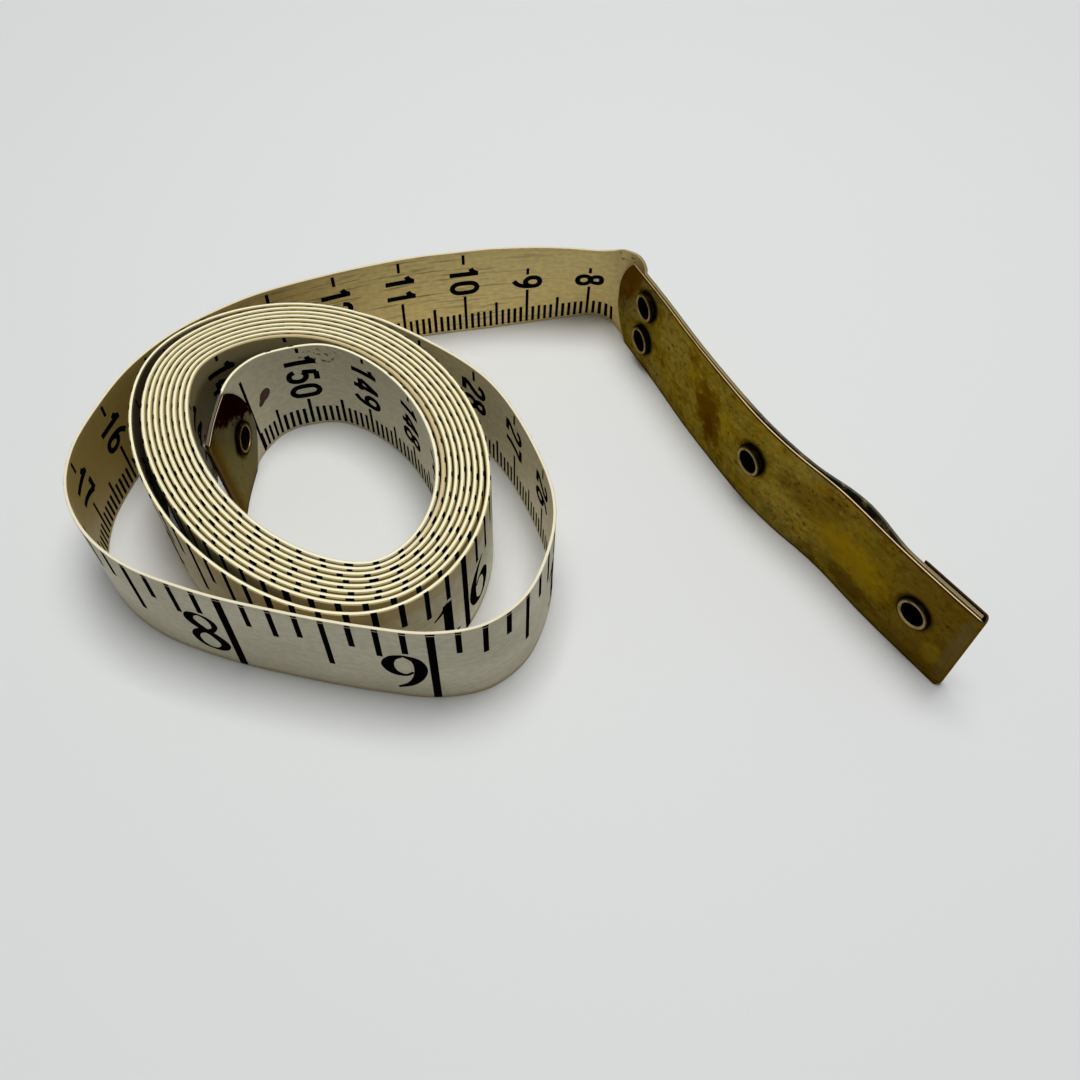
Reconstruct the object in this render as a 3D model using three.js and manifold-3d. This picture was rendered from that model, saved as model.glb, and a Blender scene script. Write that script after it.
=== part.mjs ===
// Cloth tape measure, loosely wound and standing on its edge, with a folded brass
// plate on its zero end and a short brass tip on its inner end.
// Millimetres, +Z up. The origin is the middle of the footprint on the table.

import * as THREE from 'three';
import { mergeVertices } from 'three/addons/utils/BufferGeometryUtils.js';
import Module from 'manifold-3d';

// Tape
const TAPE_WIDTH = 15.9;
const TAPE_THICKNESS = 0.38;
const LOOP_STEP = 2.4;
const CREASE_STEP = 0.7;
const TAIL_STEP = 1.2;

// Wound bundle: an oval that shrinks by one pitch in every turn
const COIL_GAP = 0.42;
const COIL_TURNS = 8.98;
const COIL_STEPS_PER_TURN = 48;
const COIL_CENTRE = new THREE.Vector2(-26, -7.4);
const COIL_RADIUS = 24.69;
const COIL_START_ANGLE = 70;
const COIL_WAVES = [
  { count: 2, height: 3.7, angle: -50.5 },
  { count: 3, height: 0.6, angle: 47 },
  { count: 4, height: 0.23, angle: -7.5 },
];

// How far the first turn stands off the next, and where in the turn it does most
const COIL_SLACK = 0.8;
const COIL_SLACK_PEAK = 0.4;

// Brass sheet and the room it leaves for the tape
const BRASS_THICKNESS = 0.45;
const BRASS_FIT = 0.3;
const FOLD_STEPS = 8;
const FOLD_CORNER = 0.8;
const PLATE_LENGTH = 76;
const PLATE_LEAF_EDGE = 0.2;
const PLATE_END_RISE = 3.4;
const PLATE_STEP = 2.2;
const TIP_LENGTH = 14;
const TIP_LEAF_CLEAR = 1.6;
const TIP_END_RISE = 4.3;
const TIP_STEP = 1.3;
const END_CURVE_STEPS = 8;
const END_FLAT_ANGLE = 6;

// Tape next to the short leaf stands off the plate
const BULGE_HEIGHT = 0.85;
const BULGE_LENGTH = 17.3;

// Tape stretches that bend when the plate or the tip swings
const CREASE_FROM_PLATE = 1.1;
const CREASE_LENGTH = 6;
const TIP_BEND_LENGTH = 5;
const JOIN_GAP = 0.3;

// Slanting fold at the plate's rounded end: distance past that end, and how far the top edge
// and the foot of the tape stand to the left of its line there
const CREASE_LEAN = [
  [-6, 0, 0], [-5, -0.5, 0], [-3.2, -1, 0], [-1.5, -0.9, 0], [0, 0, 0], [1, 1.1, -0.15],
  [2.2, 1.65, -0.6], [4, 2, -1.4], [6, 2, -1.5], [9, 1.6, -0.9], [14, 0.85, -0.45],
  [19, 0.3, -0.15], [24, 0, 0],
];

// Slant of the tip: how far its foot stands to the left, and the run of tape that comes to it
const TIP_FOOT = 0.9;
const TIP_LEAN_RUN = 8;

// Eyelets, set a little above the middle of the tape, and a little below it on the tip
const EYELET_BORE = 3.4;
const EYELET_WALL = 0.2;
const EYELET_RIM = 4.8;
const EYELET_ROLL = 0.3;
const EYELET_SEAT = 0.15;
const EYELET_CLEARANCE = 0.15;
const EYELET_SIDES = 24;
const EYELET_CURVE_STEPS = 3;
const EYELET_RAISE = 0.45;
const TIP_EYELET_ROLL = 0.12;
const TIP_EYELET_RAISE = -0.75;
const EYELET_PAIR_SPACING = 6.65;
const EYELET_FAR_FROM_FOLD = 7.6;
const EYELET_MIDDLE_FROM_FOLD = 37.6;
const EYELET_PAIR_FROM_END = 8.4;
const TIP_EYELET_FROM_END = 4.2;

// Route of the tape under the plate, as distances from the crease. It runs on past the zero end.
const PLATE_ROUTE = [
  [52.5, -80.1], [40.4, -64.2], [33.4, -55], [27.4, -46.3],
  [21.9, -39.8], [17.9, -34.1], [11.4, -22.5], [5.9, -11.2], [0.9, -1.5],
];

// Outer loop from the crease to the bundle: degrees before the bundle starts, and how far
// the tape stands off a tight turn there
const LOOP_ROUTE = [
  [-387, 35.5], [-385.7, 34.9], [-384.3, 33.5], [-381, 29.5], [-370, 18.1], [-358.5, 11.1],
  [-327, 2.5], [-309, 0.75], [-287, 0.45], [-258, 1.8], [-241, 4.3], [-230, 7.4],
  [-222, 9], [-214, 8.9], [-206, 7.3], [-195, 4], [-180, 1.35], [-154.5, 1.5],
  [-128.5, 4.7], [-113.5, 7.5], [-101, 8.7], [-88.5, 8.5], [-76, 7.9], [-64, 6.3],
  [-39, 3.4], [-11, 0.35],
];

// Free inner end: degrees past the end of the bundle, and how far the tape stands in from
// a tight turn there
const TAIL_ROUTE = [
  [15, 0.45], [45, 2.5], [62.5, 3.7], [114, 4.3], [137, 2.7], [146, 0.9],
];

// Vertices nearer than this are one
const SAME_VERTEX = 1e-4;
const SAME_STATION = 0.05;

const wasm = await Module();
wasm.setup();

const radians = (degrees) => THREE.MathUtils.degToRad(degrees);
const coilPitch = TAPE_THICKNESS + COIL_GAP;
const bore = EYELET_BORE / 2;
const barrel = bore + EYELET_WALL;
const hole = barrel + EYELET_CLEARANCE;
const rim = EYELET_RIM / 2;
const brassOffset = (TAPE_THICKNESS + BRASS_THICKNESS) / 2 + BRASS_FIT;
const foldDepth = brassOffset + BRASS_THICKNESS / 2;
const singleGrip = BRASS_THICKNESS + BRASS_FIT + TAPE_THICKNESS;
const doubleGrip = singleGrip + BRASS_FIT + BRASS_THICKNESS;

// Point of the winding, by the angle turned past the start of the bundle. An oval's support
// distance shrinks by one pitch a turn, so tight turns stay one pitch apart.
function windingPoint(degrees, standOff) {
  const angle = radians(COIL_START_ANGLE + degrees);
  let reach = COIL_RADIUS - coilPitch * degrees / 360 + standOff;
  let slope = 0;
  for (const wave of COIL_WAVES) {
    const phase = wave.count * (angle - radians(wave.angle));
    reach += wave.height * Math.cos(phase);
    slope -= wave.height * wave.count * Math.sin(phase);
  }
  return new THREE.Vector2(
    COIL_CENTRE.x + reach * Math.cos(angle) - slope * Math.sin(angle),
    COIL_CENTRE.y + reach * Math.sin(angle) + slope * Math.cos(angle),
  );
}

// Slack of the first turn: none where it starts and none where it ends
function slackAt(turn) {
  const bump = (t) => t ** 2 * (1 - t) ** 3;
  return turn < 1 ? COIL_SLACK * bump(turn) / bump(COIL_SLACK_PEAK) : 0;
}

const bundlePoint = (turn) => windingPoint(360 * turn, slackAt(turn));

// Points along a smooth curve through knots, from knot `first` to knot `last`
function smooth(knots, first, last, step) {
  const curve = new THREE.CatmullRomCurve3(knots.map((p) => new THREE.Vector3(p.x, p.y, 0)));
  const points = [];
  for (let i = first; i < last; i++) {
    const count = Math.max(1, Math.round(knots[i].distanceTo(knots[i + 1]) / step(i)));
    for (let k = 0; k < count; k++) {
      const at = curve.getPoint((i + k / count) / (knots.length - 1));
      points.push(new THREE.Vector2(at.x, at.y));
    }
  }
  return points;
}

// A route with the length run at each of its points
function measured(points) {
  const run = [0];
  for (let i = 1; i < points.length; i++) {
    run.push(run[i - 1] + points[i].distanceTo(points[i - 1]));
  }
  return { points, run, length: run[run.length - 1] };
}

// Place, direction and left-hand normal at a length along a route
function stationAt(route, s) {
  let i = route.run.findIndex((value) => value > s);
  if (i < 0) {
    i = route.run.length - 1;
  }
  i = Math.max(1, i);
  const a = route.points[i - 1];
  const b = route.points[i];
  const along = b.clone().sub(a).normalize();
  const point = a.clone().addScaledVector(along, s - route.run[i - 1]);
  return { point, along, left: new THREE.Vector2(-along.y, along.x) };
}

// Part of a route between two lengths, keeping the route's own points
function part(route, from, to) {
  const points = [stationAt(route, from).point];
  const run = [from];
  for (let i = 0; i < route.points.length; i++) {
    if (route.run[i] > from + SAME_STATION && route.run[i] < to - SAME_STATION) {
      points.push(route.points[i]);
      run.push(route.run[i]);
    }
  }
  points.push(stationAt(route, to).point);
  run.push(to);
  return { points, run };
}

// Unit normals on the left of a line of points, stretched at its corners
function leftNormals(points) {
  const last = points.length - 1;
  return points.map((point, i) => {
    const before = point.clone().sub(points[Math.max(0, i - 1)]).normalize();
    const after = points[Math.min(last, i + 1)].clone().sub(point).normalize();
    const mean = before.clone().add(after).normalize();
    const stretch = i === 0 || i === last ? 1 : 1 / mean.dot(after);
    return new THREE.Vector2(-mean.y, mean.x).multiplyScalar(stretch);
  });
}

// Number that runs smoothly through knots of a place and a value, and stays level outside them
function follow(knots, place) {
  const last = knots.length - 1;
  if (place <= knots[0][0] || place >= knots[last][0]) {
    return place <= knots[0][0] ? knots[0][1] : knots[last][1];
  }
  const slope = (i) => {
    if (i === 0 || i === last) {
      return 0;
    }
    return (knots[i + 1][1] - knots[i - 1][1]) / (knots[i + 1][0] - knots[i - 1][0]);
  };
  const i = knots.findIndex((knot) => knot[0] > place) - 1;
  const width = knots[i + 1][0] - knots[i][0];
  const t = (place - knots[i][0]) / width;
  const level = knots[i][1] + (knots[i + 1][1] - knots[i][1]) * (3 * t ** 2 - 2 * t ** 3);
  return level + width * ((t ** 3 - 2 * t ** 2 + t) * slope(i) + (t ** 3 - t ** 2) * slope(i + 1));
}

// Closed strip that stands on edge along a route. `foot` and `top` say how far its lower and
// its upper edge stand to the left of the route, and `slide` says where it slants to at the table.
function strip(route, shape) {
  const { thickness, low = () => 0, high = () => TAPE_WIDTH, slide } = shape;
  const { foot = () => 0, top = () => 0 } = shape;
  const normals = leftNormals(route.points);
  const position = [];
  const index = [];
  route.points.forEach((point, i) => {
    const s = route.run[i];
    for (const [side, upper] of [[1, false], [-1, false], [-1, true], [1, true]]) {
      const out = side * thickness / 2 + (upper ? top(s) : foot(s));
      const height = upper ? high(s) : low(s);
      const at = point.clone().addScaledVector(normals[i], out);
      if (slide) {
        at.addScaledVector(slide[i], 1 - height / TAPE_WIDTH);
      }
      position.push(at.x, at.y, height);
    }
  });
  const last = route.points.length - 1;
  for (let i = 0; i < last; i++) {
    for (let k = 0; k < 4; k++) {
      const a = i * 4 + k;
      const b = i * 4 + (k + 1) % 4;
      index.push(a, b + 4, b, a, a + 4, b + 4);
    }
  }
  const end = last * 4;
  index.push(0, 2, 3, 0, 1, 2);
  index.push(end, end + 2, end + 1, end, end + 3, end + 2);
  const geometry = new THREE.BufferGeometry();
  geometry.setAttribute('position', new THREE.Float32BufferAttribute(position, 3));
  geometry.setIndex(index);
  return geometry;
}

function toManifold(geometry) {
  const bare = geometry.clone();
  bare.deleteAttribute('normal');
  bare.deleteAttribute('uv');
  const merged = mergeVertices(bare, SAME_VERTEX);
  const vertProperties = new Float32Array(merged.attributes.position.array);
  const triVerts = new Uint32Array(merged.index.array);
  return new wasm.Manifold(new wasm.Mesh({ numProp: 3, vertProperties, triVerts }));
}

function toGeometry(solid) {
  const mesh = solid.getMesh();
  const geometry = new THREE.BufferGeometry();
  geometry.setAttribute('position', new THREE.BufferAttribute(mesh.vertProperties, 3));
  geometry.setIndex(new THREE.BufferAttribute(mesh.triVerts, 1));
  return geometry;
}

// Matrix of an eyelet: its axis stands out from the brass on the left side of the tape, whose
// foot stands to the left of its top
function eyeletMatrix(station, height, footLeft) {
  const left = new THREE.Vector3(station.left.x, station.left.y, 0);
  const along = new THREE.Vector3(station.along.x, station.along.y, 0);
  const up = new THREE.Vector3(0, 0, TAPE_WIDTH).addScaledVector(left, -footLeft).normalize();
  const axis = new THREE.Vector3().crossVectors(up, along);
  const origin = new THREE.Vector3(station.point.x, station.point.y, height);
  origin.addScaledVector(left, footLeft * (1 - height / TAPE_WIDTH));
  origin.addScaledVector(axis, foldDepth);
  return new THREE.Matrix4().makeBasis(along, axis, up).setPosition(origin);
}

// Holes for eyelets, bored from well in front of the stack to well behind it
function pierce(geometry, eyelets) {
  const drill = new THREE.CylinderGeometry(hole, hole, 4 * doubleGrip, EYELET_SIDES);
  let solid = toManifold(geometry);
  for (const { matrix } of eyelets) {
    solid = solid.subtract(toManifold(drill.clone().applyMatrix4(matrix)));
  }
  return toGeometry(solid);
}

// How far the curved stack rises in front of (side 1) or behind (side -1) an eyelet's flat rim
function rise(route, s, side) {
  const here = stationAt(route, s);
  const reach = [-rim, rim].map((way) => {
    const there = stationAt(route, s + way);
    return side * there.point.sub(here.point).dot(here.left);
  });
  return Math.max(0, ...reach);
}

// Turned eyelet: a rolled rim in front, a barrel through the stack and a clenched rim behind
function eyelet(route, s, grip, roll) {
  const front = EYELET_SEAT + rise(route, s, 1);
  const back = -grip - EYELET_SEAT - rise(route, s, -1);
  const crest = front + 2 * roll;
  const clench = back - 2 * roll;
  const profile = new THREE.Path();
  profile.moveTo(barrel, back);
  profile.lineTo(barrel, front);
  profile.lineTo(rim, front);
  profile.lineTo(rim, front + roll / 2);
  profile.quadraticCurveTo(rim, crest, rim - roll, crest);
  profile.lineTo(bore + roll, crest);
  profile.quadraticCurveTo(bore, crest, bore, front + roll);
  profile.lineTo(bore, back - roll);
  profile.quadraticCurveTo(bore, clench, bore + roll, clench);
  profile.quadraticCurveTo(rim, clench, rim, back);
  profile.lineTo(barrel, back);
  return new THREE.LatheGeometry(profile.getPoints(EYELET_CURVE_STEPS), EYELET_SIDES);
}

// Rounded end of a sheet: where along it the height changes, and half the height there
function roundedEnd(endRise) {
  const widest = TAPE_WIDTH / 2;
  const radius = (widest ** 2 + endRise ** 2) / (2 * endRise);
  const first = radians(END_FLAT_ANGLE);
  const last = Math.asin(widest / radius);
  const stations = [];
  for (let i = 0; i <= END_CURVE_STEPS; i++) {
    const angle = THREE.MathUtils.lerp(first, last, i / END_CURVE_STEPS);
    stations.push(radius * (Math.cos(first) - Math.cos(angle)));
  }
  const half = (distance) => {
    const angle = Math.acos(Math.max(Math.cos(last), Math.cos(first) - distance / radius));
    return radius * Math.sin(angle);
  };
  return { stations, half };
}

// Brass sheet folded round one end of the tape: a long leaf with a rounded end on the left,
// the fold, and a short leaf on the right. `lengthAt` turns a distance from the tape's end
// into a length on the route, and `way` is 1 where both grow together. The sheet's foot stands
// to the left of its top by `footLeft`.
function foldedSheet(route, lengthAt, way, { length, leaf, endRise, step, footLeft }) {
  const end = roundedEnd(endRise);
  const reach = length - foldDepth;
  const stations = end.stations.map((distance) => reach - distance);
  const straight = stations[stations.length - 1];
  const count = Math.ceil(straight / step);
  for (let i = 1; i <= count; i++) {
    stations.push(straight * (1 - i / count));
  }
  const points = [];
  const halves = [];
  const slide = [];
  const add = (station, aside, back, half) => {
    const point = station.point.clone().addScaledVector(station.left, aside);
    points.push(point.addScaledVector(station.along, -way * back));
    halves.push(half);
    slide.push(station.left.clone().multiplyScalar(footLeft));
  };
  for (const distance of stations) {
    add(stationAt(route, lengthAt(distance)), brassOffset, 0, end.half(reach - distance));
  }
  const tip = stationAt(route, lengthAt(0));
  for (let i = 1; i < FOLD_STEPS; i++) {
    const angle = Math.PI * i / FOLD_STEPS;
    const half = TAPE_WIDTH / 2 - FOLD_CORNER * (1 - Math.abs(Math.cos(angle)));
    add(tip, brassOffset * Math.cos(angle), brassOffset * Math.sin(angle), half);
  }
  const leafReach = leaf - foldDepth;
  const leafCount = Math.ceil(leafReach / step);
  for (let i = 0; i <= leafCount; i++) {
    add(stationAt(route, lengthAt(leafReach * i / leafCount)), -brassOffset, 0, TAPE_WIDTH / 2);
  }
  const sheet = measured(points);
  const half = (s) => halves[sheet.run.indexOf(s)];
  return strip(sheet, {
    thickness: BRASS_THICKNESS,
    low: (s) => TAPE_WIDTH / 2 - half(s),
    high: (s) => TAPE_WIDTH / 2 + half(s),
    slide,
  });
}

// Line of the outer loop and of what lies under the plate
const crease = windingPoint(...LOOP_ROUTE[0]);
const plateKnots = PLATE_ROUTE.map(([x, y]) => new THREE.Vector2(x, y).add(crease));
const loopKnots = LOOP_ROUTE.map(([degrees, standOff]) => windingPoint(degrees, standOff));
const lead = 2 / COIL_STEPS_PER_TURN;
const outerKnots = [...plateKnots, ...loopKnots, bundlePoint(0), bundlePoint(lead)];
const nearCrease = (i) => i >= plateKnots.length - 2 && i <= plateKnots.length + 1;
const outerStep = (i) => (nearCrease(i) ? CREASE_STEP : LOOP_STEP);
const outerPoints = smooth(outerKnots, 0, outerKnots.length - 2, outerStep);

// Line of the bundle and of the free inner end
const coilPoints = [];
const coilCount = Math.round(COIL_TURNS * COIL_STEPS_PER_TURN);
for (let i = 0; i <= coilCount; i++) {
  coilPoints.push(bundlePoint(COIL_TURNS * i / coilCount));
}
const coilEnd = 360 * COIL_TURNS;
const freeKnots = TAIL_ROUTE.map(([degrees, standIn]) => windingPoint(coilEnd + degrees, -standIn));
const tailKnots = [bundlePoint(COIL_TURNS - lead), bundlePoint(COIL_TURNS), ...freeKnots];
const tailPoints = smooth(tailKnots, 1, tailKnots.length - 1, () => TAIL_STEP);
tailPoints.push(tailKnots[tailKnots.length - 1]);

// Whole tape, cut where the plate's length puts its zero end
const line = measured([...outerPoints, ...coilPoints, ...tailPoints.slice(1)]);
const creaseIndex = line.points.findIndex((point) => point.distanceTo(crease) < SAME_STATION);
const plateEnd = PLATE_LENGTH - foldDepth;
const zero = line.run[creaseIndex] - CREASE_FROM_PLATE - plateEnd;
const tape = measured(part(line, zero, line.length).points);
const coilStart = line.run[outerPoints.length] - zero;

// Least distance between turns, less the tape's thickness
function leastGap(route) {
  const sameTurn = 2 * TAPE_WIDTH;
  const segment = new THREE.Line3();
  const spot = new THREE.Vector3();
  const nearest = new THREE.Vector3();
  let least = Infinity;
  for (let i = 0; i < route.points.length; i++) {
    spot.set(route.points[i].x, route.points[i].y, 0);
    for (let k = i + 1; k < route.points.length; k++) {
      if (route.run[k - 1] - route.run[i] > sameTurn) {
        segment.start.set(route.points[k - 1].x, route.points[k - 1].y, 0);
        segment.end.set(route.points[k].x, route.points[k].y, 0);
        segment.closestPointToPoint(spot, true, nearest);
        least = Math.min(least, spot.distanceTo(nearest));
      }
    }
  }
  return least - TAPE_THICKNESS;
}
console.log(`tape length ${tape.length.toFixed(1)} mm`);
console.log(`least gap between turns ${leastGap(tape).toFixed(3)} mm`);

// Lengths along the tape where one stretch ends and the next begins
const creaseEnd = plateEnd + CREASE_LENGTH;
const tipStart = tape.length - (TIP_LENGTH - foldDepth);
const bendStart = tipStart - TIP_BEND_LENGTH;

// Eyelets
const farS = EYELET_FAR_FROM_FOLD - foldDepth;
const middleS = EYELET_MIDDLE_FROM_FOLD - foldDepth;
const pairS = plateEnd - EYELET_PAIR_FROM_END;
const tipEyeletS = tipStart + TIP_EYELET_FROM_END;
const pairRaise = EYELET_PAIR_SPACING / 2;
const middleHeight = TAPE_WIDTH / 2 + EYELET_RAISE;
const tipHeight = TAPE_WIDTH / 2 + TIP_EYELET_RAISE;
const plateEyelets = [
  { name: 'eyelet_far', s: farS, height: middleHeight, grip: doubleGrip },
  { name: 'eyelet_middle', s: middleS, height: middleHeight, grip: singleGrip },
  { name: 'eyelet_near_upper', s: pairS, height: middleHeight + pairRaise, grip: singleGrip },
  { name: 'eyelet_near_lower', s: pairS, height: middleHeight - pairRaise, grip: singleGrip },
];
const tipEyelets = [{ name: 'eyelet_tip', s: tipEyeletS, height: tipHeight, grip: singleGrip }];
for (const each of plateEyelets) {
  each.roll = EYELET_ROLL;
  each.matrix = eyeletMatrix(stationAt(tape, each.s), each.height, 0);
}
for (const each of tipEyelets) {
  each.roll = TIP_EYELET_ROLL;
  each.matrix = eyeletMatrix(stationAt(tape, each.s), each.height, TIP_FOOT);
}

// The short leaf holds the far eyelet on the plate, and ends before the eyelet on the tip
const plateLeaf = EYELET_FAR_FROM_FOLD + rim + PLATE_LEAF_EDGE;
const tipLeaf = TIP_LENGTH - TIP_EYELET_FROM_END - rim - TIP_LEAF_CLEAR;

// How far the tape bulges away behind the plate
function bulge(s) {
  const t = THREE.MathUtils.clamp((s - plateLeaf) / BULGE_LENGTH, 0, 1);
  return -BULGE_HEIGHT * Math.sin(Math.PI * t) ** 2;
}

// How far the tape's upper and lower edge stand to the left of its line
const topKnots = CREASE_LEAN.map(([place, top]) => [place, top]);
const footKnots = CREASE_LEAN.map(([place, top, foot]) => [place, foot]);
const tipFoot = (s) => TIP_FOOT * THREE.MathUtils.smoothstep(s, tipStart - TIP_LEAN_RUN, tipStart);
const edges = {
  top: (s) => bulge(s) + follow(topKnots, s - plateEnd),
  foot: (s) => bulge(s) + follow(footKnots, s - plateEnd) + tipFoot(s),
};

const group = new THREE.Group();
const CLOTH = { color: 0xd8cfae, roughness: 0.7, metalness: 0 };
const BRASS = { color: 0x7d6a35, roughness: 0.45, metalness: 0.9 };
const EYELET_BRASS = { color: 0x8a7440, roughness: 0.4, metalness: 0.9 };

function piece(name, geometry, finish, matrix = new THREE.Matrix4()) {
  const mesh = new THREE.Mesh(geometry, new THREE.MeshStandardMaterial(finish));
  mesh.name = name;
  mesh.applyMatrix4(matrix);
  group.add(mesh);
}

// Stretch of tape that leaves half the joining gap at both ends
function stretch(from, to) {
  const route = part(tape, from + JOIN_GAP / 2, to - JOIN_GAP / 2);
  return strip(route, { thickness: TAPE_THICKNESS, ...edges });
}

const plateTape = stretch(-JOIN_GAP / 2, plateEnd);
const tipTape = stretch(tipStart, tape.length + JOIN_GAP / 2);
piece('tape_plate_length', pierce(plateTape, plateEyelets), CLOTH);
piece('tape_crease', stretch(plateEnd, creaseEnd), CLOTH);
piece('tape_outer_loop', stretch(creaseEnd, coilStart), CLOTH);
piece('tape_coil', stretch(coilStart, bendStart), CLOTH);
piece('tape_inner_bend', stretch(bendStart, tipStart), CLOTH);
piece('tape_tip_length', pierce(tipTape, tipEyelets), CLOTH);

const plate = foldedSheet(tape, (distance) => distance, 1, {
  length: PLATE_LENGTH, leaf: plateLeaf, endRise: PLATE_END_RISE, step: PLATE_STEP, footLeft: 0,
});
const tip = foldedSheet(tape, (distance) => tape.length - distance, -1, {
  length: TIP_LENGTH, leaf: tipLeaf, endRise: TIP_END_RISE, step: TIP_STEP, footLeft: TIP_FOOT,
});
piece('brass_end_plate', pierce(plate, plateEyelets), BRASS);
piece('brass_tip', pierce(tip, tipEyelets), BRASS);

for (const { name, s, grip, roll, matrix } of [...plateEyelets, ...tipEyelets]) {
  piece(name, eyelet(tape, s, grip, roll), EYELET_BRASS, matrix);
}

export default group;
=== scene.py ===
"""Looks of a cloth tape measure: printed cloth wound on edge, folded brass ends, eyelets."""

import math
from types import SimpleNamespace

import bmesh
import bpy
import numpy as np
from mathutils import Euler, Matrix, Vector


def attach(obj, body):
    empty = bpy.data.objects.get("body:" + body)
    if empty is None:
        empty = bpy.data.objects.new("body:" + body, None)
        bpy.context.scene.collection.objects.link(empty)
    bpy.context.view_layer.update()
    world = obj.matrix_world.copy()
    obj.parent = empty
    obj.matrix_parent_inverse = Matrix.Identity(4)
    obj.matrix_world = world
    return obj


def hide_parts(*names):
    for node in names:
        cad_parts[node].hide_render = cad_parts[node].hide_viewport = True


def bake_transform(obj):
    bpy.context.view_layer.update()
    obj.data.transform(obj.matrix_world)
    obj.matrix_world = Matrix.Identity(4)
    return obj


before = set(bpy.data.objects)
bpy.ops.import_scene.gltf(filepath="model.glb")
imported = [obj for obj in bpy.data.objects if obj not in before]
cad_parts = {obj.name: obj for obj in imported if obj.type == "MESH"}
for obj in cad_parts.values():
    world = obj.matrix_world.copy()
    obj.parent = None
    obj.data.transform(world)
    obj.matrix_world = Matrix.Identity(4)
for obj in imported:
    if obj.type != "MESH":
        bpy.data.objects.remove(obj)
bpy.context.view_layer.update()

MM = 0.001
rng = np.random.default_rng(11)

# Tape
TAPE_WIDTH = 15.9 * MM
TAPE_THICKNESS = 0.40 * MM
TAPE_BEVEL = 0.05 * MM
BUNDLE_THICKNESS = 0.58 * MM
BUNDLE_BEVEL = 0.14 * MM
BUNDLE_START = 0.30
TAPE_ROWS = 13
LOOP_STEP = 0.5 * MM
CREASE_STEP = 0.25 * MM
TAIL_STEP = 0.5 * MM
TAIL_START_TO_BEND = 6 * MM
EDGE_LIFT = 0.16 * MM
LIFT_PAST_CREASE = (18 * MM, 60 * MM)
BUNDLE_FADE = 30 * MM
TAIL_FADE = 40 * MM
TAIL_FADE_END = 5 * MM
LEAST_STEP = 0.05 * MM

# Texture of an upright strip: its second coordinate runs up the left face, over the top edge, which
# has this room, and down the right face to its foot
EDGE_ROOM = 0.4 * MM
RIGHT_FOOT = 2 * TAPE_WIDTH + EDGE_ROOM

# Wound bundle, as in the part's source
COIL_PITCH = 0.8 * MM
COIL_TURNS = 8.98
COIL_STEPS_PER_TURN = 168
COIL_CENTRE = np.array([-26, -7.4]) * MM
COIL_RADIUS = 24.69 * MM
COIL_START_ANGLE = 70
COIL_WAVES = [(2, 3.7 * MM, -50.5), (3, 0.6 * MM, 47), (4, 0.23 * MM, -7.5)]
COIL_SLACK = 0.8 * MM
COIL_SLACK_PEAK = 0.4
COIL_LEAD_TURNS = 2 / 48

# Brass sheets, which are thinner and lie closer to the tape than in the part's source. The middle
# of a sheet lies at its offset from the tape's, and its foot and top stand to the left of that.
PLATE = SimpleNamespace(
    length=76 * MM, end_rise=3.4 * MM, thickness=0.28 * MM, offset=0.60 * MM,
    foot=0.0, top=0.0)
TIP = SimpleNamespace(
    length=14 * MM, end_rise=4.3 * MM, thickness=0.20 * MM, offset=0.34 * MM,
    foot=0.9 * MM, top=-0.3 * MM)
TIP_LEAN_RUN = 8 * MM
BRASS_BEVEL = 0.05 * MM
FOLD_DEPTH = 0.94 * MM
BRASS_ROWS = 25
BRASS_STEP = 0.65 * MM
FOLD_STEPS = 16
FOLD_CORNER = 0.8 * MM
PLATE_LEAF_EDGE = 0.2 * MM
TIP_LEAF_CLEAR = 1.6 * MM
END_CURVE_STEPS = 18
END_FLAT_ANGLE = 6
END_THINNING = 0.55
RIPPLE_HEIGHT = 0.03 * MM
FINE_RIPPLE_HEIGHT = 0.02 * MM
RIPPLE_FADE = 3 * MM
DENT_DEPTH = 0.09 * MM
DENT_REACH = 2.9 * MM

# Stretches that bend or stand off
BULGE_HEIGHT = 0.85 * MM
BULGE_LENGTH = 17.3 * MM
CREASE_FROM_PLATE = 1.1 * MM
CREASE_LENGTH = 6 * MM
TIP_BEND_LENGTH = 5 * MM

# Slanting fold, as in the part's source: distance past the plate's end, and how far the top
# edge and the foot of the tape stand to the left of its line
CREASE_LEAN = MM * np.array([
    (-6, 0, 0), (-5, -0.5, 0), (-3.2, -1, 0), (-1.5, -0.9, 0), (0, 0, 0), (1, 1.1, -0.15),
    (2.2, 1.65, -0.6), (4, 2, -1.4), (6, 2, -1.5), (9, 1.6, -0.9), (14, 0.85, -0.45),
    (19, 0.3, -0.15), (24, 0, 0),
])

# Eyelets
EYELET_BORE = 3.4 * MM
EYELET_WALL = 0.2 * MM
EYELET_RIM = 4.8 * MM
EYELET_LIP = 0.26 * MM
EYELET_EDGE = 0.38 * MM
EYELET_HEIGHT = 0.86 * MM
EYELET_CHAMFER = 0.05 * MM
EYELET_CLENCH = 0.25 * MM
EYELET_CLENCH_SINK = 0.4
EYELET_FLOOR = 0.1 * MM
EYELET_FLOOR_OVERLAP = 0.03 * MM
EYELET_HOLE_DEPTH = 12 * MM
EYELET_SEAT = 0.08 * MM
EYELET_CLEARANCE = 0.15 * MM
EYELET_SIDES = 56
EYELET_SHARP_ANGLE = 50
RIM_STEPS = 8
LIP_STEPS = 7
CLENCH_STEPS = 6
# Texture of an eyelet: its second coordinate is the length from the rim's crest, and starts anew here
# on the clenched rim behind
EYELET_BACK = 5 * MM
EYELET_RAISE = 0.45 * MM
TIP_EYELET_RAISE = -0.75 * MM
EYELET_PAIR_SPACING = 6.65 * MM
EYELET_FAR_FROM_FOLD = 7.6 * MM
EYELET_MIDDLE_FROM_FOLD = 37.6 * MM
EYELET_PAIR_FROM_END = 8.4 * MM
TIP_EYELET_FROM_END = 4.2 * MM

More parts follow.
